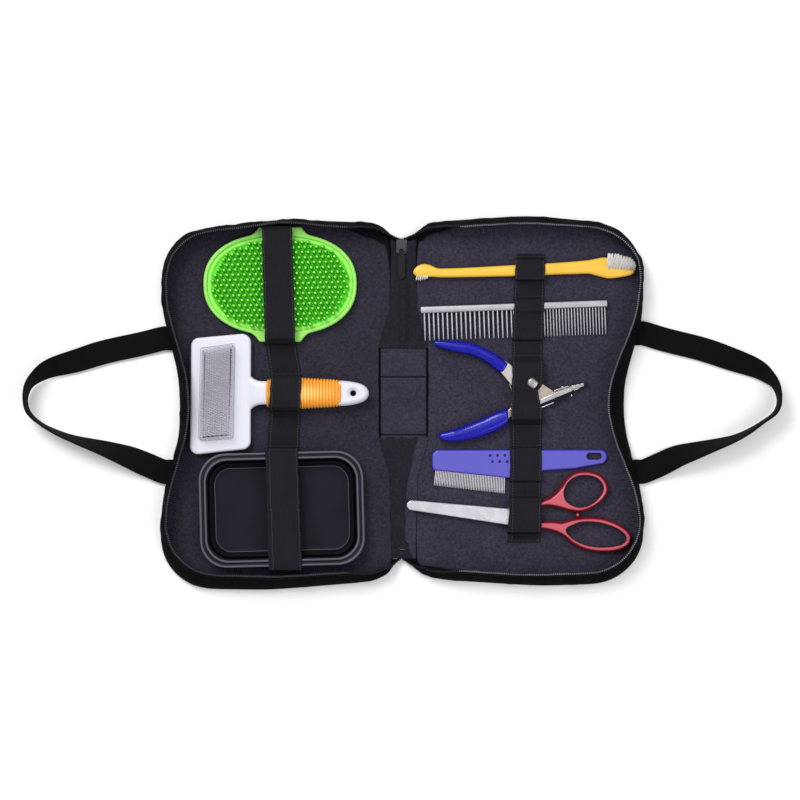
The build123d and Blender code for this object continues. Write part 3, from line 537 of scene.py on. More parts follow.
def dished(line, profile, z0=0.0, holes=(), cups=()):
    """A plate whose edge follows a profile of (inset, height) round a plan outline, closed by flat caps.

    Profiles run from the underside to the top. Each hole is (outline, profile) and goes right through,
    and each cup is (outline, profile) and is sunk into the top; their insets are into the material.
    """
    skin = Skin()
    walls = []
    for outline, rows, sign in [(line, profile, 1)] + [(ccw(h), r, -1) for h, r in holes]:
        grid = edge_band(outline, rows, z0, sign)
        walls.append(grid)
        skin.grid(grid, wrap=False, loop=True, caps=False, flip=sign < 0)
    sunk = []
    for outline, rows in cups:
        grid = edge_band(ccw(outline), rows, z0)
        skin.grid(grid, wrap=False, loop=True, caps=False, flip=True)
        skin.faces_of(grid[:, 0], [list(range(len(outline)))])
        sunk.append(grid[:, -1])
    for level in (-1, 0):
        loops = [walls[0][:, level]] + [w[:, level] for w in walls[1:]] + (sunk if level else [])
        flat = np.vstack(loops)
        tri = np.array(tessellate_polygon([[tuple(p) for p in loop] for loop in loops]))
        a, b, c = (flat[tri[:, k]][:, :2] for k in range(3))
        up = ((b - a)[:, 0] * (c - a)[:, 1] - (b - a)[:, 1] * (c - a)[:, 0]) > 0
        want = level == -1
        tri[up != want] = tri[up != want][:, ::-1]
        skin.faces_of(flat, tri.tolist())
    return skin


def edge_rows(low, high, r, steps=4):
    """The profile of a plate's edge rounded by r, from its underside to its top."""
    a = np.linspace(0, pi / 2, steps + 1)
    bottom = [(r * (1 - sin(t)), low + r * (1 - cos(t))) for t in a]
    top = [(r * (1 - cos(t)), high - r * (1 - sin(t))) for t in a]
    return bottom + top


def turned(points, centre, angle):
    """Points turned about centre by angle degrees in the plan."""
    p = np.array(points, float)
    c, s = cos(radians(angle)), sin(radians(angle))
    d = p[..., :2] - np.asarray(centre, float)[:2]
    p[..., 0] = centre[0] + d[..., 0] * c - d[..., 1] * s
    p[..., 1] = centre[1] + d[..., 0] * s + d[..., 1] * c
    return p


def local(points, spot, angle):
    """Points in a tool's own plan, moved to spot and turned by angle."""
    p = np.array(points, float)
    p[..., 0] += spot[0]
    p[..., 1] += spot[1]
    return turned(p, spot, angle)


def ripple(s, waves):
    """A sum of sines of (length, size, phase) over the distance s."""
    return sum(size * np.sin(2 * pi * s / length + phase) for length, size, phase in waves)


# Finishes
NYLON = woven("outer_nylon", "070709", "141417", 0.0007, cloth=False, spec=0.05)
WALL = woven("wall_nylon", "030304", "0f0f11", 0.0008, depth=0.00016, spec=0.03)
GUSSET = woven("gusset_cloth", "131218", "27252d", 0.0009, depth=0.00016)
LINING = woven("lining_cloth", "17161d", "383543", 0.0009, depth=0.00014, fade=0.35)
LIT_LINING = woven("lining_cloth_lit", "1b1a22", "413d4e", 0.0009, depth=0.00014, fade=0.35)
SPINE = woven(
    "spine_cloth", "1c1b25", "3b3847", 0.0009, cloth=False, depth=0.00014,
    bands=((26.5, 0.5, "0a0a0c"), (55.6, 0.7, "0a0a0c"), (-31.0, 0.7, "0a0a0c")),
)
TAPE = ribbed("zip_tape", "030304", "0d0d0f", 0.0007, along=False, spec=0.04)
PIPING = ribbed("binding_tape", "040405", "111113", 0.0009, along=False, rough=0.85, spec=0.04)
WEBBING = ribbed("webbing", "040406", "151517", 0.0016, along=False, chevron=0.8, depth=0.00035, spec=0.06)
ELASTIC = ribbed("elastic", "0c0c10", "25242b", 0.0012, along=False, depth=0.0003, edge=(1.6, 28.4))
# The teeth are dark, with a painted silvery highlight along their tops.
TEETH = moulded(
    "zip_teeth", "0e0e10", "222226", rough=0.4, grain=0.0003, rise=(26.0, 26.6, "84848c"), spec=0.25,
)
# A painted-shade copy of the teeth, darker and with a dimmer painted highlight, for the left leaf and the
# corners.
SHADED_TEETH = moulded(
    "zip_teeth_shaded", "0d0d0f", "1c1c1f", rough=0.5, grain=0.0003, rise=(26.0, 26.6, "505056"), spec=0.2,
)
ENAMEL = moulded("zip_metal", "1e1e22", "34343a", rough=0.4, coat=0.15, spec=0.4)
BLACK_METAL = moulded("zip_black_metal", "060607", "101012", rough=0.5, spec=0.2)
# The rise paints a lighter highlight on the top of the ridge round the brush floor.
GREEN = moulded(
    "green_rubber", "48cc16", "66e630", rough=0.45, soft=0.05, rise=(8.9, 9.4, "9ae862"), spec=0.3,
)
# The rim and tabs get a paler copy of the brush's green rubber: painted light, so that the raised rim looks
# lit.
GREEN_RIM = moulded("green_rim", "7ecd4b", "9de267", rough=0.4, soft=0.05)
# The rise paints a pale highlight on the cones' tips.
GREEN_CONE = moulded(
    "green_cones", "26b604", "42cc14", rough=0.35, soft=0.05, rise=(16.4, 18.4, "a6f064"), spec=0.3,
)
WHITE = moulded("white_plastic", "c8c8d4", "d6d6e0", rough=0.38, spec=0.3)
GREY_PAD = moulded("pad_rubber", "85838f", "ebe9f4", rough=0.6, grain=0.0013)
PIN = steel("pin_steel", "c4c2ce", "ffffff", rough=0.35)
# The rise paints a pale highlight along the tops of the grip's ribs.
ORANGE = moulded("orange_rubber", "d8881a", "e59c2c", rough=0.5, rise=(20.6, 22.2, "f6c76c"))
# The rise paints a grey highlight along the tops of the bowl rim's ridges.
SILICONE = moulded(
    "black_silicone", "060608", "0f0e13", rough=0.5, wear=0.1, rise=(16.4, 17.2, "53515f"), spec=0.2,
)
# The rise paints a grey highlight on the ring round the floor's edge.
BOWL_FLOOR = moulded(
    "bowl_floor_silicone", "100f15", "201e29", rough=0.6, wear=0.05, rise=(6.36, 6.5, "4a4a54"), spec=0.08,
)
YELLOW = moulded("yellow_plastic", "dba81f", "e8be45", rough=0.3, coat=0.2, soft=0.05)
BRISTLE = moulded("bristle_nylon", "d8d2cc", "fffcfa", rough=0.45, soft=0.1)
COMB = steel("comb_steel", "949399", "cfced5", rough=0.34, brushed=(1.0, 40.0, 40.0))
FLEA = steel("flea_steel", "aaa6ae", "f2eef6", rough=0.4, brushed=(40.0, 1.0, 1.0))
TOOL = steel("tool_steel", "a19e9a", "eae7e1", rough=0.3, brushed=(6.0, 30.0, 1.0), depth=0.00004)
PLATE = steel("plate_steel", "857e72", "cdc4b2", rough=0.35, brushed=(6.0, 30.0, 1.0), depth=0.00004)
BLADE = steel("blade_steel", "b3b1b8", "f3f2f7", rough=0.2, brushed=(30.0, 3.0, 1.0))
SHEARS = steel("shears_steel", "a9a7ae", "eeedf3", rough=0.34, brushed=(3.0, 40.0, 1.0), depth=0.00004)
BLUE = moulded("blue_vinyl", "060480", "0e0ca4", rough=0.16, coat=0.3, soft=0.02, spec=0.25)
# The rise paints a lighter highlight on the comb's flat top.
VIOLET = moulded(
    "violet_plastic", "29248c", "36309c", rough=0.35, soft=0.03, rise=(7.0, 7.7, "554fb2"), spec=0.4,
)
# Painted shade and highlight: the red is kept dark for the loops' sides and turns light pink along their
# tops.
RED = moulded(
    "red_plastic", "5e0a13", "760f1b", rough=0.3, coat=0.2, soft=0.02, rise=(11.0, 12.25, "ba5260"),
    spec=0.35,
)
THREAD = moulded("sewing_thread", "26262a", "3c3c42", rough=0.8)


# The two leaves
# How far each soft leaf is drawn in towards its middle: (degrees round it from its outer end, mm)
settled = {
    -1: [
        (0, -2.2), (14, -2.2), (22, -0.5), (30, 0), (36, 2), (42, 2), (48, 3), (54, 5.5), (60, 7.8),
        (66, 9.6), (72, 9.2), (78, 7.7), (84, 5.8), (90, 3.9), (102, 3.1), (114, 3.8), (122, 2.5), (130, 0),
        (234, 0), (240, 6.5), (246, 5.8), (252, 4.3), (258, 3.7), (264, 3), (270, 2.1), (276, 0.6),
        (282, -0.8), (288, -1.2), (294, 0), (300, 0.8), (312, 0.8), (318, 2.6), (324, 3.4), (336, 2),
        (348, -1.5), (360, -2.2),
    ],
    1: [
        (0, 1.4), (14, 1.2), (24, 1), (30, 1.5), (36, 3), (42, 6), (48, 5.6), (54, 7), (60, 6.4), (66, 4.8),
        (72, 2.4), (78, 1), (84, 0.5), (90, 0.3), (102, 0), (110, 0.5), (116, 2.2), (122, 1.5), (130, 0),
        (234, 0), (240, 8.5), (246, 8.8), (252, 7.4), (258, 6.8), (264, 6.6), (270, 6.1), (276, 4.7),
        (282, 3.2), (288, 3.6), (294, 5.8), (300, 7.3), (306, 6.4), (312, 4.6), (318, 5.8), (324, 6.2),
        (330, 4.6), (336, 3), (348, 1.5), (360, 1.4),
    ],
}


# Where the zipper leans outwards so that a tool lifts past it: (place, direction, mm, reach)
rooms = {-1: ((116, 176), (0, 1), 2.6, 34), 1: ((229, 142), (0.85, 0.5), 2.2, 22)}


class Edge:
    """The plan edge of a leaf, from its foot (lean 0) to the zipper (lean 1).

    Points at height z are foot + (rim - foot)·lean - normal·inset, where lean = (z - 4)/23.
    """

    middle = np.array([125.0, 0.0])

    def __init__(self, side, pull):
        self.side = side
        self.foot, foot_in = self.settle(self.line(0, pull))
        self.rim = self.line(1, pull)
        self.rim -= unit(self.rim - self.middle) * np.maximum(0.4 * foot_in, foot_in - 4.5)
        self.s = self.lengths(self.foot)
        s = np.linspace(0, self.s[-1], 900, endpoint=False)
        self.foot, self.rim = (self.soften(self.along(s, rows)) for rows in (self.foot, self.rim))
        self.s = self.lengths(self.foot)
        spot, way, amount, reach = rooms[side]
        near = np.exp(-((self.rim - np.array(spot)) ** 2).sum(1) / reach**2)
        self.rim += unit(np.array(way)) * (amount * near)[:, None]
        self.slim = np.repeat((1 - 0.4 * near)[:, None], 2, 1)
        ahead = unit(np.roll(self.foot, -1, 0) - np.roll(self.foot, 1, 0))
        self.normal = np.stack([-ahead[:, 1], ahead[:, 0]], -1)
        self.first, self.last = self.where(24, True), self.where(24, False)

    @staticmethod
    def lengths(line):
        """The distance of each point round a closed line, with the full length last."""
        ring = np.vstack([line, line[:1]])
        return np.concatenate([[0], np.cumsum(np.linalg.norm(np.diff(ring, axis=0), axis=1))])

    @staticmethod
    def soften(line):
        """The line with its outer bends averaged over 50 mm, as padded cloth takes them."""
        share = np.hanning(41) / np.hanning(41).sum()
        ring = np.vstack([line[-20:], line, line[:20]])
        smooth = np.stack([np.convolve(ring[:, k], share, "valid") for k in range(2)], -1)
        return line + (smooth - line) * np.clip((line[:, :1] - 21) / 12, 0, 1)

    def settle(self, line):
        """The even outline drawn in as measured, and how far each of its points moved."""
        arm = line - self.middle
        around = np.degrees(np.arctan2(arm[:, 1], arm[:, 0])) % 360
        angles, amounts = zip(*settled[self.side])
        moved = np.interp(around, angles, amounts)[:, None]
        return line - unit(arm) * moved, moved

    def line(self, lean, pull):
        """Corners rounded as in the part's source, with 17 points to a corner."""
        top = leaf_top - lean_top * lean
        bottom = leaf_bottom + lean_bottom * lean
        lobe = lobe_x - lean_side * lean
        waist = waist_x - (lean_side + pull) * lean
        corners = [
            (spine_half, spine_top, 40),
            (lobe_edge, spine_top + inner_slope, 40),
            (lobe_edge - 2, top - corner_drop, 24),
            (crown_x, top, 300),
            (lobe, top - corner_drop, 49),
            (lobe, lobe_y, 100),
            (waist, waist_half, 100),
            (waist, -waist_half, 100),
            (lobe, -lobe_y, 100),
            (lobe, bottom + corner_drop, 49),
            (crown_x, bottom, 300),
            (lobe_edge - 2, bottom + corner_drop, 24),
            (lobe_edge, spine_bottom - inner_slope, 40),
            (spine_half, spine_bottom, 40),
        ]
        spots = np.array(corners)[:, :2]
        sides = zip(np.roll(spots, 1, 0), spots, np.roll(spots, -1, 0), corners)
        return np.vstack([corner_arc(before, here, after, row[2]) for before, here, after, row in sides])

    def along(self, s, rows):
        """The rows of this line at distances s, with straight steps between them."""
        ring = np.vstack([rows, rows[:1]])
        return np.stack([np.interp(s % self.s[-1], self.s, ring[:, k]) for k in range(2)], -1)

    def at(self, s, inset, z):
        """Points at distances s round the edge, each with its row of insets and heights."""
        s = np.asarray(s, float)[:, None]
        inset, z = np.broadcast_arrays(np.asarray(inset, float), np.asarray(z, float))
        inset = np.broadcast_to(inset, (len(s), inset.shape[-1]))
        z = np.broadcast_to(z, inset.shape)
        foot, rim, normal = (
            self.along(s[:, 0], rows)[:, None] for rows in (self.foot, self.rim, self.normal)
        )
        lean = ((z - base_z) / (meet_z - base_z))[..., None]
        plan = foot + (rim - foot) * np.maximum(lean, 0) - normal * inset[..., None]
        out = np.concatenate([plan, z[..., None]], -1)
        out[..., 0] *= self.side
        return out

    def height(self, s):
        """How high the wall stands: 1 along the leaf, falling to low_wall beside the spine."""
        x = self.along(np.asarray(s, float), self.foot)[:, 0]
        t = np.clip((x - 24) / 36, 0, 1)
        return low_wall + (1 - low_wall) * t * t * (3 - 2 * t)

    def where(self, x, upper):
        """The distance round the edge at which it passes x on its upper or lower run."""
        s = np.linspace(0, self.s[-1], 4000, endpoint=False)
        p = self.along(s, self.foot)
        keep = (p[:, 1] > 150) if upper else (p[:, 1] < -150)
        return s[keep][np.argmin(abs(p[keep, 0] - x))]


def fall(profile, h):
    """A profile's heights pulled down towards the base by the wall's height at each station."""
    inset = np.array([row[0] for row in profile], float)
    z = np.array([row[1] for row in profile], float)
    return inset[None, :] + 0 * h[:, None], base_z + (z[None, :] - base_z) * h[:, None]


wall_rows = [
    (0.2, 3.0), (-0.5, 5.0), (-1.1, 8.0), (-1.4, 11.5), (-1.2, 15.0), (-0.6, 18.5), (0.1, 21.4),
    (0.7, 22.7), (1.7, 23.3), (2.6, 22.8), (3.0, 21.0), (3.3, 17.0), (3.6, 13.0), (3.7, 9.0), (3.6, 6.0),
    (3.3, 3.6), (1.6, 2.9),
]
tape_rows = [(0.1, 21.5), (0.0, 24.3), (0.6, 25.2), (1.9, 25.25), (2.5, 24.5), (2.2, 21.6)]
piping_rows = [(1.9 - 2.3 * cos(t), 2.4 + 2.3 * sin(t)) for t in np.linspace(0, 2 * pi, 12, endpoint=False)]
zip_tooth = stud(
    superellipse(8, 4), [(0.6, 1.15, 0.0), (0.64, 1.2, 0.5), (0.5, 0.8, 1.1), (0.36, 0.5, 1.4)],
)


def zip_teeth(line):
    """Zipper teeth every 2.1 mm on a line; each stands upright, with its long axis across the line."""
    length = np.linalg.norm(np.diff(line, axis=0), axis=1).sum()
    spots = even(line, int(length / 2.1))
    ahead = unit(np.gradient(spots, axis=0))
    across = unit(np.cross(np.broadcast_to(UP, ahead.shape), ahead))
    frames = np.stack([ahead, across, np.cross(ahead, across)], 1)
    return Skin().copies(*zip_tooth, frames, spots)


def beside_spine(foot):
    """1 for points of the edge beside the spine, 0 along the rest of the leaf."""
    return np.clip((40 - foot[:, 0]) / 18, 0, 1) * (abs(foot[:, 1]) < 168)


def over_fold(piece, side):
    """Bakes the piece's placement into its mesh; it is not blended between its leaf and the spine."""
    if side < 0:
        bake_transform(piece)
    else:
        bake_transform(piece)


def sew_wall(edge, name):
    """The padded wall, the tape and teeth on its rim, and the binding round its foot.

    Each is a profile of (inset, height) carried round the edge. Along the wall its outer bulge swells and
    shrinks by sums of sines of the distance s, and so do its creases.
    """
    leaf = name + "_leaf"
    s = np.linspace(edge.first, edge.last, 620)
    h = edge.height(s)
    inset, z = fall(wall_rows, h)
    bulge = 1.0 + ripple(s, [(61, 0.35, edge.side), (37, 0.3, 2), (19, 0.16, 1), (11, 0.1, 3)])[:, None]
    inset = np.where(inset < 0, inset * bulge, inset * edge.along(s, edge.slim)[:, :1])
    crease = ripple(s, [(83, 0.25, 1), (29, 0.18, 2 * edge.side), (13, 0.12, 0)])[:, None]
    skin = Skin().grid(edge.at(s, inset + 0.5 * crease, z + 0.6 * crease * (z > base_z + 1)))
    wall = make_piece(name + "_wall_padding", skin, WALL, leaf, 50, [name + "_side_wall"])
    inset, z = fall(tape_rows, h)
    skin = Skin().grid(edge.at(s, inset * edge.along(s, edge.slim)[:, :1] + 0.5 * crease, z + 0.3 * crease))
    make_piece(name + "_zip_tape_run", skin, TAPE, leaf, 45, [name + "_zip_tape"])
    rim_z = base_z + (teeth_z - base_z) * h[:, None] + 0.3 * crease
    line = edge.at(s, teeth_inset + 0.5 * crease, rim_z)[:, 0]
    # The left leaf's teeth take the darker painted-shade copy, and the right's the one with the brighter
    # painted highlight.
    shade = SHADED_TEETH if edge.side < 0 else TEETH
    make_piece(name + "_zip_teeth", zip_teeth(line), shade, leaf, 30, [name + "_zip_coil"])
    s = np.linspace(0, edge.s[-1], 700, endpoint=False)
    foot = edge.along(s, edge.foot)
    inner = beside_spine(foot)
    inset = np.array([row[0] for row in piping_rows])
    z = np.array([row[1] for row in piping_rows]) * (1 - 0.22 * inner)[:, None]
    z = z + 0.1 * ripple(s, [(17, 1, 0), (7, 0.6, 1)])[:, None]
    skin = Skin().grid(edge.at(s, inset, z), loop=True)
    make_piece(name + "_edge_piping", skin, PIPING, leaf, 60, [name + "_binding"])


def lay_board(edge, name):
    """The board in its nylon, under the whole leaf: the foot line with a rounded edge."""
    outline = ccw(even(edge.foot * (edge.side, 1), 500, loop=True))
    board = dished(outline, [(1.0, 0.02), (0.6, 0.3), (0.5, 1.4), (0.6, 2.7), (0.9, 3.0)])
    make_piece(
        name + "_base_board", board, NYLON, name + "_leaf", 40, [name + "_base_panel"],
    )


# Where the lining's corners are rounded off: (place, mm, reach)
round_offs = {-1: [((28, 172), 12, 28)], 1: [((30, 172), 8, 26), ((36, -168), 8, 26)]}


def lay_lining(edge, name):
    """The lining: rings of the foot line drawn in towards the leaf's middle, rolled down at the seam."""
    s = np.linspace(0, edge.s[-1], 520, endpoint=False)
    foot = edge.along(s, edge.foot)
    inner = beside_spine(foot)
    start = foot - edge.along(s, edge.normal) * (3.1 - 1.9 * inner)[:, None]
    # Its inner corners are rounded off, most at the top of the left leaf
    for spot, amount, reach in round_offs[edge.side]:
        near = np.exp(-(((foot - np.array(spot)) ** 2).sum(1)) / reach**2)
        start = start - unit(foot - edge.middle) * (amount * near)[:, None]
    depth = np.concatenate([[0.0, 0.006, 0.014, 0.024, 0.04], np.linspace(0.07, 1, 50)])[:, None, None]
    rings = start[None] * (1 - depth) + edge.middle * depth
    soft = 4.02 + 0.13 * np.sin(rings[..., 0] / 9.1 + 2 * np.sin(rings[..., 1] / 23))
    soft += 0.1 * np.sin(rings[..., 1] / 7.3 + np.sin(rings[..., 0] / 17) * 2)
    roll = np.array([-0.9, -0.25, 0.0] + [0.0] * 52)[:, None]
    top_side = np.concatenate([rings, (soft + roll)[..., None]], -1)
    under = np.concatenate([start, np.full((len(start), 1), 3.02)], -1)[None]
    grid = np.concatenate([under, top_side[:-1]])
    grid[..., 0] *= edge.side
    skin = Skin().grid(grid, caps=False, flip=edge.side < 0)
    # A fan of triangles closes the last ring, and the cloth's own places are its plan
    tip = skin.count - len(start)
    fan = [[tip + (i + 1) % len(start), tip + i, skin.count] for i in range(len(start))]
    if edge.side > 0:
        fan = [face[::-1] for face in fan]
    skin.points.append(np.array([[125.0 * edge.side, 0, 4.1]]))
    skin.faces += fan
    flat = np.concatenate(skin.points)[:, :2]
    skin.places = [flat[[v for face in skin.faces for v in face]]]
    cloth = LINING if edge.side < 0 else LIT_LINING
    make_piece(name + "_lining_cloth", skin, cloth, name + "_leaf", 60, [name + "_lining"])


def sew_corner(edge, name, upper):
    """The soft corner where wall, tape and teeth run down to the slider or to the end stop.

    The teeth follow a cubic from the wall's head to the goal: (1-t)³a + 3(1-t)²tb + 3(1-t)t²c + t³d.
    The cloth hangs between this line and the foot of the wall, with a sag of 0.8·sin πt.
    """
    mark = edge.first if upper else edge.last
    step = -1 if upper else 1
    corner_run = 23
    t = np.linspace(0, 1, 28)[:, None]
    foot = edge.at(mark + step * corner_run * t[:, 0], [0.6], [3.4])[:, 0]
    head = edge.at([mark], [teeth_inset], [base_z + (teeth_z - base_z) * low_wall])[0, 0]
    ahead = edge.at([mark + step * 2.0], [teeth_inset], [17.1])[0, 0] - head
    goal = np.array(
        [-2.0 + 3.1 * edge.side, 164.5, 4.6] if upper else [-1.9 + 1.4 * edge.side, -154.9, 4.4]
    )
    pull_in = unit(ahead) * 14
    end_way = np.array([-edge.side * 10.0, -4.0 if upper else 8.0, -1.0])
    a, b, c, d = head, head + pull_in + (0, 0, -1.5), goal - end_way, goal
    line = (1 - t) ** 3 * a + 3 * (1 - t) ** 2 * t * b + 3 * (1 - t) * t * t * c + t**3 * d
    sag = np.sin(t * pi) * 0.8
    mid = (foot + line) / 2 + np.concatenate([0 * t, (1 if upper else -1) * sag, sag], -1)
    out = np.array([0, 1.0 if upper else -1.0, 0.35])
    loop = [
        foot, mid + out, line + out * 0.6, line + (0, 0, 0.3), line - out * 0.9, mid - out,
        foot - out * 1.6,
    ]
    skin = Skin().grid(np.stack(loop, 1))
    tag = "_top" if upper else "_foot"
    # The corner teeth take the darker painted-shade copy of the teeth.
    for part, kind, finish, slot in (
        (skin, "_corner_cloth", WALL, "outer_nylon"),
        (zip_teeth(line + (0, 0, 0.25)), "_corner_teeth", SHADED_TEETH, "zip_coil"),
    ):
        piece = make_piece(name + tag + kind, part, finish, None, 45)
        over_fold(piece, edge.side)


# Spine and gussets
def cloth_block(x, y, z_top, z_low):
    """A closed block of cloth: a top surface over a grid of x and y, and a flat underside."""
    def sunk(rows):
        return rows * (1, 1, 0) + (0, 0, z_low)

    top = np.stack([x, y, z_top], -1)
    top = np.concatenate([sunk(top[:1]), top, sunk(top[-1:])])
    return np.concatenate([sunk(top[:, :1]), top, sunk(top[:, -1:])], 1)


def sew_spine():
    """The spine's cloth, a pillow between three sewn seams."""
    yy, xx = np.meshgrid(np.linspace(-35.5, 57.5, 120), np.linspace(-22.7, 22.7, 60), indexing="ij")
    seams = sum(np.exp(-(((yy - at) / 0.9) ** 2)) for at in (26.5, 50.5, -28.5))
    pillow = 0.16 * np.sin(xx / 5.1 + np.sin(yy / 9)) + 0.12 * np.sin(yy / 6.3)
    roll = np.clip((22.7 - abs(xx)) / 1.2, 0, 1) ** 0.5 * np.clip((46.5 - abs(yy - 11)) / 1.2, 0, 1) ** 0.5
    patch = cloth_block(xx, yy, 3.2 + (1.0 + pillow - 0.55 * seams) * roll, 3.02)
    make_piece(
        "spine_cloth", Skin().grid(patch, wrap=True), SPINE, "spine", 60, ["spine_lining"],
    )


# The gussets' outer edge and the lining cover's inner edge: x at each y
outer_y = [-155, -141, -72, -35, 58, 95, 152, 164]
outer_x = [10.2, 10, 12, 23, 23, 12, 10, 11.0]
cover_y = [-155, -148, -140, -131, -100, -80, -64, -33]
cover_x = [9.5, 6.5, 2.0, 0.9, 0.9, 3.6, 7.0, 14.5]


def sew_gusset(side, name, part, low, high):
    """One side of the soft cloth above or below the spine panel, or the lining's loose edge over it.

    Its height over x is 4.35 + (peak - 4.35)·exp(-(x/4.6)²), plus creases that fade in from the middle
    and less a seam 0.5 deep along it.
    """
    y = np.linspace(low, high, 150)
    far = np.interp(y, outer_y, outer_x) + 2.2
    # The cloth stops short of the slider and of the end stop
    if part == "upper":
        near = (7.3 if side < 0 else 3.3) * np.clip((y - 149.4) / 1.0, 0, 1)
    else:
        near = 4.8 * np.clip((-138.4 - y) / 0.7, 0, 1) * np.clip((y + 146.4) / 0.7, 0, 1)
    if part == "cover":
        near = np.maximum(near, np.interp(y, cover_y, cover_x) + 0.3 * np.sin(y / 6.0))
    f = np.linspace(0, 1, 34)
    yy, ff = np.meshgrid(y, f, indexing="ij")
    xx = near[:, None] + ff * (far - near)[:, None]
    if part == "upper":
        peak = np.interp(y, [55, 64, 118, 126, 164], [4.6, 8.8, 8.8, 4.0, 3.9])[:, None]
    else:
        peak = np.interp(y, [-155, -138, -130, -46, -33], [4.0, 4.2, 5.6, 5.6, 4.6])[:, None]
    fold = np.exp(-((xx / 4.6) ** 2))
    creases = 0.35 * np.sin(yy / 3.1 + 3 * np.sin(xx / 4)) + 0.3 * np.sin(yy / 7.7 + xx / 2.3)
    seam = np.exp(-((xx / 0.7) ** 2)) * 0.5
    z_top = 4.35 + (peak - 4.35) * fold + creases * np.clip(xx / 4, 0, 1) * 0.8 - seam
    z_top = np.maximum(z_top, 3.9) - np.clip((ff - 0.93) / 0.07, 0, 1) ** 2 * 0.5
    z_low, kind = 0.3, GUSSET
    if part == "cover":
        # The right lining runs on over the lower gusset in a loose edge
        z_top = z_top * 0.3 + 3.7 - 0.9 * np.clip(1 - ff / 0.07, 0, 1) ** 2
        z_low, kind = 3.6, LIT_LINING
    block = cloth_block(side * xx, yy, z_top, z_low)
    title = name + ("_lower_lining_cover" if part == "cover" else "_" + part + "_gusset")
    piece = make_piece(title, Skin().grid(block), kind, None, 60)
    over_fold(piece, side)
    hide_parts(("lower" if part == "cover" else part) + "_gusset")


# Carrying handles
# Rows of (distance beyond the wall, y, tilt in degrees) along each strap handle
web_routes = {
    -1: [
        (0, 65, 0), (22, 59.5, 0), (58.5, 51.4, 6), (86, 42.7, 22), (110, 35.6, 42), (123.6, 27.5, 62),
        (133, 17, 80), (135.9, 3, 90), (132.3, -9.3, 90), (121, -19.8, 90), (104.8, -28.6, 84),
        (86.4, -35.8, 76), (57.2, -44.8, 55), (33.5, -53.4, 30), (16, -61.2, 8), (0, -68, 0),
    ],
    1: [
        (0, 70, 0), (22, 63.5, 0), (58.5, 54.2, 6), (86.5, 44.4, 22), (110, 35.4, 42), (122.3, 26.8, 62),
        (130.6, 17, 80), (133.7, 3, 90), (129.6, -9, 90), (117.2, -18.6, 90), (102, -28.4, 84),
        (85.6, -36, 76), (57, -44.9, 55), (33.5, -52.4, 30), (16, -61, 8), (0, -68, 0),
    ],
}


def strap_handle(side, name):
    """A webbing strap along its route, flat where it is sewn on and standing on its edge at the grip.

    Each section is centre + across·half_web·cos t + facing·(half_thick·sin t + a slight bow), squared off.
    """
    half_web, half_thick = 12, 1.1
    rows = np.array(web_routes[side]) + (240, 0, 0)
    top_y, low_y = rows[0, 1], rows[-1, 1]
    rows = np.vstack([[223, top_y, 0], [234, top_y, 0], rows, [234, low_y, 0], [223, low_y, 0]])
    run = smooth_path(rows, 300)
    tilt = np.radians(np.clip(run[:, 2], 0, 90))
    ahead = np.gradient(run[:, :2], axis=0)
    ahead = unit(ahead) * (side, 1)
    flat_part = np.cos(tilt)
    across = np.column_stack([-ahead[:, 1] * flat_part, ahead[:, 0] * flat_part, np.sin(tilt) * side])
    across = across * side
    ahead3 = np.column_stack([ahead, np.zeros(len(run))])
    lift = 0.35 * ripple(np.linspace(0, 420, len(run)), [(70, 1, 0), (31, 0.5, 1)])
    lift = lift * np.clip((run[:, 0] - 244) / 20, 0, 1)
    centre = np.column_stack([run[:, 0] * side, run[:, 1], 1.55 + half_web * np.sin(tilt) + abs(lift)])
    facing = unit(np.cross(ahead3, across))
    ring = superellipse(28, 7)
    bow = 0.25 * (1 - ring[:, 0] ** 2)
    grid = centre[:, None] + across[:, None] * half_web * ring[None, :, :1]
    puff = bow[None, :, None] * np.sin(tilt)[:, None, None]
    grid = grid + facing[:, None] * (half_thick * ring[None, :, 1:] + puff)
    skin = Skin().grid(grid)
    piece = make_piece(
        name + "_webbing_handle", skin, WEBBING, None, 50,
        [name + "_handle", name + "_handle_tabs"],
    )
    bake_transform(piece)


# Elastic straps
def strap_x(rows, y):
    """The middle of a strap at y, between its rows of (y, middle)."""
    return np.interp(-np.asarray(y), [-r[0] for r in rows], [r[1] for r in rows])


def strap_bit(route, centres, nick=False, thick=1.3):
    """A closed ribbon over the (y, z) route: flat section and rounded edges."""
    length = np.linalg.norm(np.diff(np.asarray(route, float), axis=0), axis=1).sum()
    line = even(route, max(8, int(length / 0.8)))
    y, z = line[:, 0], line[:, 1]
    dy, dz = np.gradient(y), np.gradient(z)
    size = np.hypot(dy, dz)
    ny, nz = -dz / size, dy / size
    flip = np.where(nz < 0, -1, 1)
    ny, nz = ny * flip, nz * flip
    ring = superellipse(26, 6)
    middle = strap_x([row[:2] for row in centres], y)
    width = np.interp(-y, [-row[0] for row in centres], [row[2] for row in centres])
    left, right = middle - width / 2, middle + width / 2
    left = left + 0.25 * ripple(y, [(23, 1, 0), (9, 0.5, 1)])
    right = right + 0.25 * ripple(y, [(19, 1, 2), (11, 0.5, 0)])
    if nick:
        # The edge is pushed in beside the clippers' jaw
        right = np.minimum(
            right, np.interp(-y, [-30, -18, -13, 0, 6, 9], [141, 137.5, 133.6, 135.6, 138.5, 141]),
        )
    half, mid = (right - left) / 2, (right + left) / 2
    x = mid[:, None] + half[:, None] * ring[None, :, 0]
    off = thick / 2 * ring[None, :, 1]
    return np.stack([x, y[:, None] + ny[:, None] * off, z[:, None] + nz[:, None] * off], -1)


# Rows of (y, middle, width)
left_centres = [
    (182, -125.8, 30.0), (58.5, -122.3, 30.2), (22.5, -116.4, 30.2), (-51.5, -120.9, 32.2),
    (-170, -117.0, 33.0),
]
right_centres = [
    (150, 126.4, 29.2), (100, 125.1, 30.0), (63, 123.8, 30.2), (-33, 122.2, 31.4), (-85, 121.6, 31.6),
    (-138.5, 119.9, 33.0),
]
flat_z = 4.85
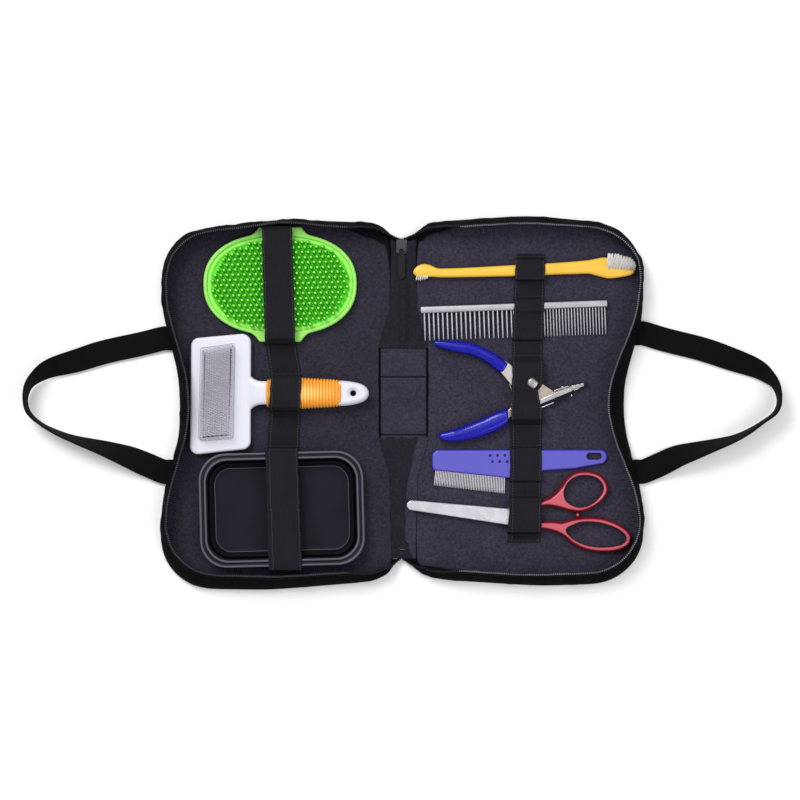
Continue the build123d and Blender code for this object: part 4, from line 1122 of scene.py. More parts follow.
# Each strap's first and last y, and for each tool the (y, height) points up from the lining and over to the
# tool's middle, then the same from its other side. Between tools the strap lies flat.
strap_plan = {
    "left": (
        182, -170,
        (
            (
                "rubber_brush", [(179.6, flat_z), (179.2, 8.0), (178.6, 11.3), (175.5, 19.7)],
                [(120, 20.0)], [(58.6, flat_z), (59.4, 11.3), (65, 19.7)], [(120, 20.0)],
            ),
            (
                "slicker_brush", [(28.1, flat_z), (27.7, 15.3), (24.1, 21.5), (17.4, 23.4)], [(10, 23.5)],
                [(-7.7, flat_z), (-7.3, 15.3), (-3.7, 21.5), (3, 23.4)], [(10, 23.5)],
            ),
            (
                "bowl", [(-44.2, flat_z), (-44.5, 10), (-45.2, 18.4)], [(-70, 18.5), (-105, 18.3)],
                [(-165.8, flat_z), (-165.5, 10), (-164.8, 18.4)], [(-140, 18.5), (-105, 18.3)],
            ),
        ),
    ),
    "right": (
        149.5, -138.5,
        (
            (
                "toothbrush", [(143.8, flat_z), (142.6, 12.4)], [(133, 12.5)],
                [(122.4, flat_z), (123.8, 12.4)], [(133, 12.5)],
            ),
            (
                "steel_comb", [(105, flat_z), (103, 11.8)], [(92.5, 11.8), (89, 9.45)],
                [(62.5, flat_z), (64.5, 9.45)], [(89, 9.45)],
            ),
            (
                "nail_clippers", [(46, flat_z), (40, 15.4)], [(12, 15.7)], [(-21, flat_z), (-15, 15.4)],
                [(12, 15.7)],
            ),
            (
                "flea_comb", [(-43.6, flat_z), (-44.6, 8.9)], [(-60, 9.0)], [(-78.2, flat_z), (-76.6, 8.9)],
                [(-60, 9.0)],
            ),
            (
                "scissors", [(-93, flat_z), (-95, 13.4)], [(-111, 13.5)],
                [(-129.5, flat_z), (-127.5, 13.4)], [(-111, 13.5)],
            ),
        ),
    ),
}


def strap_runs(name):
    """A strap's runs in order, each (tool or None where it lies flat, rise, way over the tool)."""
    at, end, tools = strap_plan[name]
    for tool, up, over, down, back in tools:
        yield None, [(at, flat_z), up[0]], []
        yield tool, up, over
        yield tool, down, back
        at = down[0][0]
    yield None, [(at, flat_z), (end, flat_z)], []


def elastic(side_name, number, route, centres, nick=False, rides=None):
    """One run of a leaf's strap, cut from the ribbon over its route."""
    skin = Skin().grid(strap_bit(route, centres, nick))
    piece = make_piece(f"{side_name}_elastic_{number}", skin, ELASTIC, rides, 50)
    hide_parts(side_name + "_strap")
    return piece


def lay_strap(name, centres):
    """A leaf's strap: runs that lie flat on the leaf, and runs that bend between the leaf and a tool."""
    leaf = name + "_leaf"
    nick = name == "right"
    for number, (tool, rise, over) in enumerate(strap_runs(name)):
        tag = f"{number:02d}"
        if tool is None:
            elastic(name, tag, rise, centres, nick, leaf)
            continue
        route = rise + over
        x = float(strap_x(centres, rise[0][0])) * MM
        if tool == "bowl":
            # It is made as two runs, a foot and an upper part, split where it is 7 high; neither follows the
            # bowl.
            half_z = 7.0
            at = np.interp(half_z, [p[1] for p in rise], [p[0] for p in rise])
            piece = elastic(name, tag + "a", [rise[0], (at, half_z)], centres)
            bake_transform(piece)
            piece = elastic(name, tag + "b", [(at, half_z)] + route[1:], centres)
            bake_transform(piece)
            continue
        piece = elastic(name, tag, route, centres, nick)
        foot = (x, rise[0][0] * MM, (rise[0][1] + 0.7) * MM)
        head = (x, rise[-1][0] * MM, (rise[-1][1] - 0.7) * MM)
        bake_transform(piece)


stitch_rows = {
    "left": (181, 57.2, 30, 29.2, -9.2, -42.7, -167.5),
    "right": (146.6, 121.0, 106.4, 61.0, 47.5, -22.5, -42.2, -79.8, -91.5, -131.2, -136.5),
}


def sew_stitches(name, centres):
    """Rows of 13 short raised stitches across a strap, where it is sewn to the lining."""
    skin = Skin()
    t = np.linspace(-0.95, 0.95, 7)
    bow = np.column_stack([t, 0.05 * t, 0.22 - 0.22 * (t / 0.95) ** 2])
    radius = 0.24 * np.sqrt(np.clip(1 - (t / 0.99) ** 2, 0.05, 1)) ** 0.5
    for y in stitch_rows[name]:
        mid = float(strap_x(centres, y))
        for k in range(-6, 7):
            spot = np.array([mid + k * 2.4 + 0.3, y + 0.12 * sin(k * 2.1), flat_z + 0.66])
            skin.grid(sweep(bow + spot, radius, radius, count=6), flip=False)
    make_piece(name + "_strap_stitches", skin, THREAD, name + "_leaf", 60)


# Left leaf: brushes and bowl
def rubber_brush():
    """A superelliptic pad with a hollow-filleted tab on either long side, and rows of cones.

    Beside its middle, y is drawn out to the tab's reach by ((31 - |x|) / 10.5)^2.2, between 0 and 1.
    """
    brush_spot = (-123.0, 119.0)
    plain_oval = superellipse(480, 2.3, shift=0) * (76.4, 51.3)
    # The tabs reach 57.8 down and 56.9 up, 41 wide at the tip, and run into the oval in hollow fillets
    oval = plain_oval.copy()
    flare = np.clip((31.0 - abs(oval[:, 0])) / 10.5, 0, 1) ** 2.2
    oval[:, 1] += np.sign(oval[:, 1]) * (57.8 - abs(oval[:, 1])) * flare
    oval = even(oval, 460, loop=True)
    for smoothing in range(3):
        oval = (np.roll(oval, 1, 0) + 2 * oval + np.roll(oval, -1, 0)) / 4
    oval = np.column_stack([oval[:, 0], np.minimum(oval[:, 1], 56.9)])
    pad_line = local(oval, brush_spot, 0)
    oval_only = even(plain_oval, 460, loop=True) + np.array(brush_spot)
    inside = oval_only - plan_normals(oval_only) * 4.4
    rim_rows_up = [(0.9, 4.35), (0.2, 5.0), (0.0, 7.0), (0.1, 9.4), (0.6, 10.7), (1.6, 11.2), (2.8, 10.9)]
    rim_rows_in = [(0, 4.4), (0, 8.6), (0.3, 9.8), (1.0, 10.6), (1.8, 10.9)]
    skin = dished(pad_line, rim_rows_up, holes=[(inside, rim_rows_in)])
    make_piece(
        "rubber_brush_rim", skin, GREEN_RIM, "rubber_brush", 60, ["rubber_brush_pad"],
    )
    floor_rows = [
        (4.2, 7.4), (4.3, 9.3), (4.9, 9.1), (5.6, 9.4), (7.0, 9.4), (7.9, 9.0), (8.8, 8.5), (9.6, 8.35),
    ]
    skin = dished(oval_only, floor_rows)
    make_piece("rubber_brush_floor", skin, GREEN, "rubber_brush", 60)
    cone_levels = [(2.5, -0.3), (2.25, 0.6), (2.05, 3.0), (1.7, 6.6), (1.3, 8.7), (0.9, 9.7), (0.4, 10.15)]
    cone = stud(superellipse(12), cone_levels)
    spots = []
    for row in range(-10, 11):
        for col in range(-13, 14):
            x = col * 5.8 + (2.9 if row % 2 else 0)
            y = row * 5.1
            if abs(x / 69.5) ** 2.2 + abs(y / 44.6) ** 2.2 < 1:
                spots.append((x, y))
    spots = np.array(spots)
    places = np.column_stack(
        [turned(spots + np.array(brush_spot), brush_spot, 1.8), np.full(len(spots), 8.4)]
    )
    frames = np.repeat(np.eye(3)[None], len(spots), 0)
    frames[:, 2, :2] = rng.normal(0, 0.012, (len(spots), 2))
    make_piece(
        "rubber_brush_cones", Skin().copies(*cone, frames, places), GREEN_CONE,
        "rubber_brush", 40, ["rubber_brush_nubs"],
    )


def slicker_head():
    """A plate with a cushion of bent wires, 14 across and 38 along."""
    head_line = round_line([(-212.8, -51.4), (-152.2, -45.2), (-151.8, 70.2), (-211.2, 64.8)], [8, 9, 9, 8])
    well = round_line([(-204.6, -38.0), (-168.8, -35.2), (-166.9, 60.3), (-201.9, 55.2)], [2.5] * 4)
    skin = dished(
        head_line, edge_rows(4.35, 13.2, 2.4, 5), cups=[(well, [(0.4, 12.3), (0.1, 12.6), (0, 13.2)])],
    )
    make_piece("slicker_plate", skin, WHITE, "slicker_brush", 40, ["slicker_head"])
    pad_edge = round_line([(-203.6, -37), (-169.8, -34.2), (-168.0, 59.2), (-200.8, 54.2)], [2.5] * 4)
    make_piece(
        "slicker_cushion", dished(pad_edge, [(0, 12.4), (0.1, 13.9), (0.5, 14.6), (1.4, 15.0), (4, 15.3)]),
        GREY_PAD, "slicker_brush", 60, ["slicker_pad"],
    )
    bend = np.array([(0, 0, 0), (0, 0, 5.0), (0.15, 0, 5.9), (0.75, 0, 6.6), (2.6, 0, 9.0)])
    wire_points = sweep(bend, 0.3, 0.3, up=(0, 1, 0), count=6).reshape(-1, 3)
    wire_faces = tube_faces(6, len(bend))
    spots = []
    for i, across_share in enumerate(np.linspace(0.035, 0.925, 14)):
        for along_share in np.linspace(0.014, 0.975, 38):
            along_share += 0.013 * (i % 2)
            outer = np.array((-203.4, -37)) + np.array((2.6, 91.2)) * along_share
            inner = np.array((-170.0, -34.2)) + np.array((2.0, 93.4)) * along_share
            x, y = (1 - across_share) * outer + across_share * inner
            spots.append((x, y, 15.1))
    spots = np.array(spots)
    frames = np.zeros((len(spots), 3, 3))
    lean = rng.normal(0, 0.05, len(spots))
    frames[:, 0] = np.stack([np.cos(lean), np.sin(lean), 0 * lean], -1)
    frames[:, 1] = np.stack([-np.sin(lean), np.cos(lean), 0 * lean], -1)
    frames[:, 2, 2] = 1
    wires = Skin().copies(wire_points, wire_faces, frames, spots)
    make_piece("slicker_wires", wires, PIN, "slicker_brush", 50, ["slicker_pins"])


def slicker_handle():
    """The neck, which runs out of the head in fillets, the ribbed grip and an end with a hole."""
    stations = [-158, -155, -152, -149, -145.5, -141, -136, -131.0]
    xs = np.linspace(-158, -131, 40)
    half_wide = np.interp(xs, stations, [22.0, 20.0, 16.6, 14.0, 12.3, 11.6, 11.6, 11.8])
    half_high = np.interp(xs, stations, [3.6, 4.0, 4.6, 5.0, 5.2, 5.4, 5.5, 5.6])
    middle = np.interp(xs, stations, [9.2, 9.4, 9.8, 10.6, 11.8, 12.8, 13.2, 13.3])
    path = np.column_stack([xs, np.full(40, 10.6), middle])
    skin = Skin().grid(sweep(path, half_wide, half_high, count=36, power=3.2))
    make_piece("slicker_neck", skin, WHITE, "slicker_brush", 60)
    xs = np.linspace(-136.4, -62.4, 445)
    rib = np.abs(np.sin((xs + 136.4) * pi / 3.12)) ** 0.7
    taper = np.interp(
        xs, [-136.4, -135.4, -128, -100, -70, -64, -62.4], [12.4, 13.4, 15.9, 15.6, 14.0, 13.2, 12.6],
    )
    path = np.column_stack([xs, np.full(445, 10.2), np.full(445, 13.3)])
    half_wide = taper * (0.9 + 0.1 * rib)
    half_high = 9.0 * (0.87 + 0.13 * rib) * taper / 15.9
    skin = Skin().grid(sweep(path, half_wide, half_high, count=56, power=2.4))
    make_piece("slicker_ribbed_grip", skin, ORANGE, "slicker_brush", 30, ["slicker_grip"])
    end_half = [
        (-65, 12.6), (-60, 12.5), (-54, 11.9), (-48, 10.9), (-43, 9.6), (-39, 7.6), (-36.2, 5.0),
        (-34.7, 2.2), (-34.3, 0.01),
    ]
    top_half = smooth_path(end_half, 60)
    end_line = ccw(np.vstack([top_half, (top_half * (1, -1))[::-1][1:]]) + (0, 10.2))
    hole = circle(-50.1, 10.2, 2.9, 40)
    end_rows = [
        (2.2, 7.5), (0.9, 8.4), (0.15, 10.5), (0, 13.3), (0.25, 15.4), (1.2, 17.1), (2.6, 18.3),
        (4.0, 18.9),
    ]
    hole_rows = [(1.2, 7.5), (0, 9.0), (0, 15.0), (0.5, 16.6), (1.6, 17.6), (2.9, 18.2), (3.6, 18.9)]
    skin = dished(end_line, end_rows, holes=[(hole, hole_rows)])
    make_piece("slicker_hang_end", skin, WHITE, "slicker_brush", 50)


bowl_spot = (-121.0, -105.0)


def bowl_line(inset):
    """The bowl's rounded rectangle drawn in by inset: half sizes 82 and 57, corners 27, all made smaller."""
    a, b, r = 82.0 - inset, 57.0 - inset, 27.0 - 0.7 * inset
    corners = [(-a, -b), (a, -b), (a, b), (-a, b)]
    return local(round_line(corners, [r] * 4, 1.6), bowl_spot, 1.5)


def start_east(line):
    """The outline turned round so that it starts where it crosses the bowl's long axis."""
    d = line - np.array(bowl_spot)
    angle = abs(np.arctan2(d[:, 1], d[:, 0]))
    return np.roll(line, -int(np.argmin(angle)), axis=0)


def bowl_rows(rows, count=360):
    """A closed band round the bowl: each row is (inset from the bowl's edge, height)."""
    lines = [even(start_east(bowl_line(inset)), count, loop=True) for inset, z in rows]
    rings = [np.column_stack([line, np.full(count, z)]) for line, (inset, z) in zip(lines, rows)]
    return Skin().grid(np.stack(rings, 1), loop=True)


def bowl():
    """The folded bowl: its rim ring and the wall folded under it, each a closed band, and its floor."""
    rim_rows = [
        (0.3, 13.6), (0.0, 14.6), (0.0, 16.2), (0.5, 17.1), (1.4, 17.3), (2.3, 16.9), (2.9, 16.1),
        (3.9, 15.8), (4.7, 16.2), (5.3, 16.9), (6.2, 17.2), (7.1, 16.9), (7.8, 16.0), (8.0, 14.6),
        (7.7, 13.6), (6.9, 13.3), (1.1, 13.3),
    ]
    make_piece(
        "bowl_rim_ring", bowl_rows(rim_rows), SILICONE, "bowl_top", 60, ["bowl_rim"],
    )
    fold_rows = [
        (4.1, 13.5), (4.6, 13.0), (5.6, 11.0), (6.6, 9.0), (8.2, 8.6), (9.4, 10.2), (10.2, 11.9),
        (11.2, 12.6), (12.2, 11.6), (13.2, 9.2), (14.6, 7.2), (15.4, 6.2), (15.1, 5.6), (13.6, 6.2),
        (12.0, 8.8), (11.2, 10.4), (10.5, 9.4), (9.2, 7.4), (7.6, 6.9), (5.8, 7.4), (4.6, 10.0),
        (3.6, 12.8), (3.6, 13.4),
    ]
    wall = make_piece(
        "bowl_folding_wall", bowl_rows(fold_rows), SILICONE, None, 60, ["bowl_fold"],
    )
    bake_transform(wall)
    floor_profile = [
        (0.8, 4.35), (0, 4.9), (0.0, 6.1), (0.4, 6.5), (0.9, 6.55), (1.4, 6.4), (2.0, 6.0), (3.4, 5.75),
        (6, 5.7),
    ]
    skin = dished(bowl_line(14.5), floor_profile)
    make_piece("bowl_floor", skin, BOWL_FLOOR, "bowl", 60, ["bowl_base"])


# Right leaf
def bristle_field(name, roots, tips, jitter, old, count=9, thickness=0.2):
    """Tufts of thin tapered filaments from each root to its tip, spread a little at the tip."""
    levels = [(1.0, 0.0), (0.95, 0.6), (0.7, 0.95), (0.3, 1.0)]
    filament = stud(superellipse(5), [(r * thickness, h) for r, h in levels])
    root = np.repeat(roots, count, 0) + rng.normal(0, jitter * 0.5, (len(roots) * count, 3))
    tip = np.repeat(tips, count, 0) + rng.normal(0, jitter, (len(roots) * count, 3))
    way = tip - root
    side_a = unit(np.cross(way, (0.0, 0.3, 1.0)))
    side_b = unit(np.cross(way, side_a))
    frames = np.stack([side_b, side_a, way], 1)
    skin = Skin().copies(*filament, frames, root)
    return make_piece(name, skin, BRISTLE, "toothbrush", 50, [old])


def toothbrush():
    """A body of stations (x, y, half its width), with long tufts at one end and short ones at the other."""
    tb_rows = np.array(
        [
            (9.6, 130.8, 0.6), (10.6, 130.9, 2.6), (13, 131.5, 4.7), (16.5, 132.2, 6.0), (21, 132.6, 6.5),
            (26, 132.1, 6.0), (30, 131.2, 5.1), (34, 130.3, 4.6), (40, 130.1, 4.5), (60, 130.5, 4.7),
            (90, 131.6, 5.2), (120, 132.8, 5.7), (150, 134.2, 5.9), (172, 135.3, 6.4), (184.6, 136.1, 6.9),
            (192, 135.9, 8.5), (199.5, 135.6, 10.0), (205, 134.2, 9.6), (211, 132.4, 7.4),
            (218, 131.4, 5.3), (225, 131.2, 3.8), (228.5, 131.5, 2.4), (230.2, 131.7, 0.6),
        ]
    )
    run = smooth_path(tb_rows, 260)
    path = np.column_stack([run[:, :2], np.full(len(run), 7.8)])
    half = np.maximum(run[:, 2], 0.4)
    thick = 3.45 * np.clip(half / 4.4, 0.1, 1) ** 0.6
    thick = thick * np.interp(run[:, 0], [190, 200, 225], [1, 0.86, 0.72])
    ahead = unit(np.gradient(path, axis=0)) * (1, 0.25, 1)
    ring = superellipse(30, 2.7)
    across = unit(np.cross(np.broadcast_to(UP, path.shape), ahead))
    grid = path[:, None] + across[:, None] * half[:, None, None] * ring[None, :, :1]
    grid = grid + UP * thick[:, None, None] * ring[None, :, 1:]
    make_piece(
        "toothbrush_body", Skin().grid(grid), YELLOW, "toothbrush", 60,
        ["toothbrush_handle"],
    )


    tape_y, tape_x = [126, 130, 134, 138, 142, 146, 150], [232.2, 231.8, 231.1, 230.2, 228.6, 226.2, 223.4]
    roots, tips = [], []
    for row, (share, z1) in enumerate(((0.34, 14.4), (0.56, 13.0), (0.8, 11.2), (1.0, 9.0))):
        for k, x in enumerate(np.arange(203.4, 230.4, 2.9)):
            x += 1.3 * (row % 2)
            top_y = np.interp(
                x, [202, 205, 213.6, 219.3, 225.5, 229.4, 231.5],
                [146.6, 149.2, 148.2, 146.2, 145.0, 142.4, 140.2],
            )
            foot_y = np.interp(x, [202, 210, 222, 231], [133.0, 132.2, 132.6, 134.8])
            roots.append((x - 0.3, foot_y - 1.5, 6.5 + 0.5 * row))
            tips.append((x + 0.5, foot_y + (top_y - foot_y) * share, z1))
    for ends in (roots, tips):
        # They stop short of the zipper, which they lift past
        for k, (x, y, z) in enumerate(ends):
            ends[k] = (min(x, np.interp(y, tape_y, tape_x)), y, z)
    bristle_field(
        "toothbrush_long_tufts", np.array(roots), np.array(tips), 0.62, "toothbrush_large_bristles", 34,
        0.24,
    )
    roots, tips = [], []
    for level, (z0, z1) in enumerate(((5.6, 5.4), (7.6, 8.0), (9.4, 11.0))):
        for x in np.arange(13.5, 26.0, 2.1):
            roots.append((x + 0.4, 129.5, z0))
            tips.append((x - 0.8, np.interp(x, [12, 18, 26], [123.6, 122.9, 125.2]) + 0.5 * level, z1))
    bristle_field(
        "toothbrush_short_tufts", np.array(roots), np.array(tips), 0.28, "toothbrush_small_bristles",
    )


def steel_comb():
    """A square bar with 20 wide and 31 fine tapered pins."""
    comb_foot, comb_turn, comb_length, pin_length = (16.5, 94.0), 2.05, 187, 28.2
    t, scale = rounded(comb_length, 1.0, 90, 0.45)
    path = local(np.column_stack([comb_length * t, 0 * t - 0.9, np.full(90, 7.5)]), comb_foot, comb_turn)
    skin = Skin().grid(sweep(path, 3.6 * scale, 3.15 * scale, count=28, power=4.0))
    make_piece("comb_bar", skin, COMB, "steel_comb", 40, ["comb_spine"])
    for label, start, pitch, count, r0, r1, old in (
        ("comb_wide_pins", 4.0, 4.56, 20, 1.05, 0.6, "comb_wide_teeth"),
        ("comb_fine_pins", 93.1, 3.03, 31, 0.8, 0.46, "comb_fine_teeth"),
    ):
        levels = [
            (r0, 0.0), (r0, 0.25), (0.85 * r0 + 0.15 * r1, 0.6), (r1, 0.95), (0.8 * r1, 0.98),
            (0.35 * r1, 1.0),
        ]
        feet = local([(start + k * pitch, -3.6, 7.5) for k in range(count)], comb_foot, comb_turn)
        down = np.array([sin(radians(comb_turn)), -cos(radians(comb_turn)), 0]) * pin_length
        side_a = unit(np.cross(down, UP))
        frames = np.repeat(np.stack([UP, -side_a, down])[None], count, 0)
        skin = Skin().copies(*stud(superellipse(10), levels), frames, feet)
        make_piece(label, skin, COMB, "steel_comb", 50, [old])


clip_pivot = (124, 4)


def clipper_bar(name, start, end, half, low, high, finish, soft=0.4):
    """A narrow flat bar between two plan points, with rounded edges."""
    a, b = np.array(start, float), np.array(end, float)
    ahead = unit(b - a)
    across = np.array([-ahead[1], ahead[0]]) * half
    line = round_line([a - across, b - across, b + across, a + across], [half * 0.5] * 4, 0.4)
    skin = dished(line, edge_rows(low, high, soft, 3))
    make_piece(name, skin, finish, "nail_clippers", 40)


def clipper_plates():
    """The fixed plate and the lever, each with a hole for the rivet."""
    lever_outline = [
        (80, 51), (98, 44.5), (107.5, 38), (119, 22), (130, 9), (131, 2), (128, -2), (121, -1), (115, 9),
        (103, 23.5), (92, 37), (78, 46.5),
    ]
    frame_outline = [
        (80, -26), (96, -20.5), (108, -12.5), (122, -8.5), (133, -5.5), (135.2, -0.7), (168.2, 13.2),
        (179.8, 17.4), (179.2, 19.8), (168.0, 17.6), (150, 11.8), (136.6, 20.8), (131.5, 18), (132, 12),
        (118, 6), (104, -7), (94, -12.5), (80, -18.5),
    ]
    pin_hole = circle(*clip_pivot, 2.06, 30)
    plate_hole = [(0.25, 0.0), (0, 0.25), (0, 2.75), (0.25, 3.0)]
    for label, outline, z, rides, old in (
        ("clipper_fixed_plate", frame_outline, 6.7, "nail_clippers", "clipper_frame"),
        ("clipper_moving_plate", lever_outline, 9.9, "clipper_lever_arm", "clipper_lever"),
    ):
        line = round_line(outline, [1.0] * len(outline), 0.6)
        skin = dished(line, edge_rows(0, 3.0, 0.45, 3), z, holes=[(pin_hole, plate_hole)])
        make_piece(label, skin, TOOL if "moving" in label else PLATE, rides, 40, [old])


def clipper_jaw():
    """A folded guard, the lower rail under a dark gap, a thin upper rail and the stepped tip."""
    jaw_line = round_line(
        [(135.6, -0.9), (168.4, 12.7), (165.3, 15.8), (150.0, 10.3), (135.8, 3.8)], [0.6, 0.8, 0.8, 3, 0.6],
        0.5,
    )
    skin = dished(jaw_line, edge_rows(9.72, 10.8, 0.5, 3))
    make_piece("clipper_jaw_band", skin, BLADE, "nail_clippers", 40)
    clipper_bar("clipper_lower_rail", (134.5, -5.2), (149.7, 1.0), 0.6, 7.4, 9.0, BLADE)
    clipper_bar("clipper_rail_shade", (149.9, 1.1), (162.8, 6.6), 0.5, 7.4, 8.8, SILICONE)
    clipper_bar("clipper_upper_rail", (149.8, 12.7), (164.2, 17.4), 0.55, 9.72, 12.0, BLADE, soft=0.3)
    clipper_bar("clipper_rail_lug", (157.2, 15.9), (159.2, 16.6), 0.9, 9.72, 12.8, BLADE, soft=0.3)
    clipper_bar("clipper_gap_shade", (135.6, -2.4), (167.0, 10.8), 0.8, 6.8, 8.6, SILICONE, soft=0.2)
    clipper_bar("clipper_lower_tip", (169.7, 13.3), (174.9, 15.1), 0.5, 6.8, 9.2, BLADE, soft=0.2)
    for step, reach in enumerate((167.6, 171.8, 176.0)):
        here = np.array([reach, 16.4 + (reach - 167.6) * 0.29])
        clipper_bar(
            f"clipper_tip_step_{step}", here, here + (3.5, 1.0), 1.5 - 0.3 * step, 9.72, 11.6 - 0.4 * step,
            BLADE, soft=0.3,
        )
    skin = dished(circle(182.0, 19.3, 1.9, 26, 1.5), edge_rows(6.6, 10.6, 0.8, 4))
    make_piece("clipper_tip_cap", skin, SILICONE, "nail_clippers", 50)
    skin = dished(circle(167.3, 7.9, 0.9, 22, 1.1), edge_rows(6.6, 8.8, 0.5, 3))
    make_piece("clipper_spring_bead", skin, BLADE, "nail_clippers", 50)
    # The cutting blade lies under the band, which hides it through its whole travel
    blade_line = turned(
        round_line([(136, -1.4), (152, 2.0), (152, 4.0), (136, 1.4)], [0.6] * 4, 0.5), (124, 1), 10.4,
    )
    skin = dished(blade_line, [(0, 9.68), (0, 9.72), (0.2, 9.74)])
    make_piece("clipper_cutting_blade", skin, PLATE, "clipper_cutter", 30, ["clipper_blade"])


def clipper_fittings():
    """The knurled knob, the rivet and the leaf spring.

    The knob is foot + way·d + r·(UP·cos t + side·sin t), and its knurls change r by 3.5 per cent.
    """
    way = np.array((-0.8, 0.6, 0.0))
    foot = np.array((131.2, 18.0, 16.4))
    levels = np.array(
        [(3.2, -1.0), (4.0, -0.6), (4.3, 0.2), (4.3, 6.8), (4.1, 7.8), (3.6, 8.6), (2.6, 9.2), (1.0, 9.5)]
    )
    turn = np.linspace(0, 2 * pi, 96, endpoint=False)
    side_b = np.cross(way, UP)
    rings = []
    for index, (r, d) in enumerate(levels):
        ridge = 1 + (0.035 * np.sign(np.sin(24 * turn)) if 2 <= index <= 3 else 0 * turn)
        spokes = UP * np.cos(turn)[:, None] + side_b * np.sin(turn)[:, None]
        rings.append(foot + way * d + spokes * r * ridge[:, None])
    skin = Skin().grid(np.stack(rings))
    make_piece(
        "clipper_knurled_knob", skin, TOOL, "nail_clippers", 35, ["clipper_blade_screw"],
    )
    rivet_rows = [(2.2, 6.75), (2.0, 12.9), (0.2, 13.15), (0, 13.4), (0.5, 13.9), (1.4, 14.2), (2.6, 14.3)]
    skin = dished(circle(*clip_pivot, 4.0, 48), rivet_rows)
    make_piece("clipper_pivot_rivet", skin, TOOL, "nail_clippers", 35, ["clipper_pivot_pin"])
    spring_line = smooth_path([(105.4, 19.4), (107.6, 13.6), (108.7, 8.4), (108.4, 3.5), (107.0, -2.6)], 60)
    path = np.column_stack([spring_line, np.full(60, 9.7)])
    skin = Skin().grid(sweep(path, 0.38, 2.45, count=16, power=6))
    spring = make_piece("clipper_leaf_spring", skin, TOOL, None, 35, ["clipper_spring"])
    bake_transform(spring)


def clipper_sleeves():
    """The two dipped grips: superellipses between an outer and an inner line, closed at the far end."""
    upper_outer = [
        (29.5, 60.6), (31, 62.0), (35, 62.7), (45.5, 62.8), (56, 62.0), (66.5, 60.5), (83.5, 54), (97, 46),
        (104.5, 40),
    ]
    upper_inner = [
        (29.5, 60.2), (31, 58.4), (34, 56.4), (39.5, 54.4), (52.5, 51), (69.5, 47.5), (83.5, 40), (91, 34),
        (98, 30),
    ]
    lower_outer = [
        (34.5, -32.6), (35.6, -34.6), (39, -36.6), (44, -37.4), (56, -37.6), (76, -33.5), (95, -26),
        (104.5, -19.5),
    ]
    lower_inner = [
        (34.5, -32.2), (35.8, -30.4), (39, -28.8), (43, -27.6), (60, -22.5), (81, -14), (94, -8),
        (103.5, -5.5),
    ]
    for label, outer, inner, rides, old in (
        ("clipper_top_sleeve", upper_outer, upper_inner, "clipper_lever_arm", "clipper_upper_grip"),
        ("clipper_bottom_sleeve", lower_outer, lower_inner, "nail_clippers", "clipper_lower_grip"),
    ):
        a, b = smooth_path(outer, 120), smooth_path(inner, 120)
        mid, half = (a + b) / 2, np.linalg.norm(a - b, axis=1) / 2
        s = np.concatenate([[0], np.cumsum(np.linalg.norm(np.diff(mid, axis=0), axis=1))])
        end = s[-1] - s
        closing = np.sqrt(np.clip(1 - (1 - np.clip(end / 1.2, 0, 1)) ** 2, 0.5, 1))
        high = 5.4 * np.clip(half / 6.2, 0.15, 1) ** 0.5 * closing
        across = unit(b - a)
        ring = superellipse(44, 2.35)
        bead = 1 + 0.05 * np.exp(-((np.linspace(0, 44, 44, endpoint=False) - 14) ** 2) / 3.0)
        wide = across[:, None] * half[:, None, None] * ring[None, :, :1]
        tall = high[:, None, None] * (ring[:, 1] * bead)[None, :, None]
        line = np.column_stack([mid, np.full(120, 9.8)])
        skin = Skin().grid(line[:, None] + np.concatenate([wide, tall], 2))
        make_piece(label, skin, BLUE, rides, 60, [old])


def flea_comb():
    """A plate with a slot and six round cups, and 44 flat tapered pins."""
    flea_outline = [
        (32.5, -45.8), (203.5, -45.8), (203.5, -59.5), (170, -65.5), (138.5, -67.5), (105.5, -75),
        (29.5, -67), (28, -62), (28, -50.5),
    ]
    line = round_line(flea_outline, [4, 8, 11, 30, 30, 3, 1.5, 6, 4], 0.8)
    slot_line = round_line([(182.6, -55.8), (197.4, -55.8), (197.4, -49.4), (182.6, -49.4)], [3.1] * 4, 0.5)
    hole_rows = [(0.6, 0), (0, 0.6), (0, 2.7), (0.35, 3.2), (0.9, 3.5)]
    cups = []
    for i in range(3):
        for j in range(2):
            x, y = 88.6 + 7.35 * i - 2.3 * j, -57.9 + 6.1 * j
            cups.append((circle(x, y, 1.45, 26), [(0.9, 1.7), (0.4, 1.9), (0.12, 2.6), (0, 3.5)]))
    comb_rows = [(0.4, 0), (0.0, 0.5), (0.0, 1.4), (0.4, 2.2), (1.0, 2.9), (1.6, 3.3), (2.3, 3.5)]
    skin = dished(line, comb_rows, 4.3, holes=[(slot_line, hole_rows)], cups=cups)
    make_piece("flea_comb_body", skin, VIOLET, "flea_comb", 50, ["flea_comb_handle"])
    top_a, top_b = np.array((32.4, -65.6)), np.array((100.8, -73.2))
    tip_a, tip_b = np.array((30.7, -81.9)), np.array((100.3, -89.8))
    count = 44
    share = np.linspace(0, 1, count)[:, None]
    feet = top_a + (top_b - top_a) * share
    ends = tip_a + (tip_b - tip_a) * share
    flea_pin = stud(
        superellipse(8, 3), [(0.55, 0.6, 0.0), (0.55, 0.6, 0.78), (0.45, 0.5, 0.95), (0.25, 0.3, 1.0)],
    )
    way = np.concatenate([ends - feet, np.zeros((count, 1))], 1)
    row_way = np.broadcast_to(np.append(unit(top_b - top_a), 0.0), way.shape)
    frames = np.stack([row_way, np.broadcast_to((0.0, 0.0, -1.0), way.shape), way], 1)
    frames[:, 0] = unit(np.cross(frames[:, 1], unit(way)))
    skin = Skin().copies(*flea_pin, frames, np.concatenate([feet, np.full((count, 1), 6.05)], 1))
    make_piece("flea_comb_pins", skin, FLEA, "flea_comb", 40, ["flea_comb_teeth"])


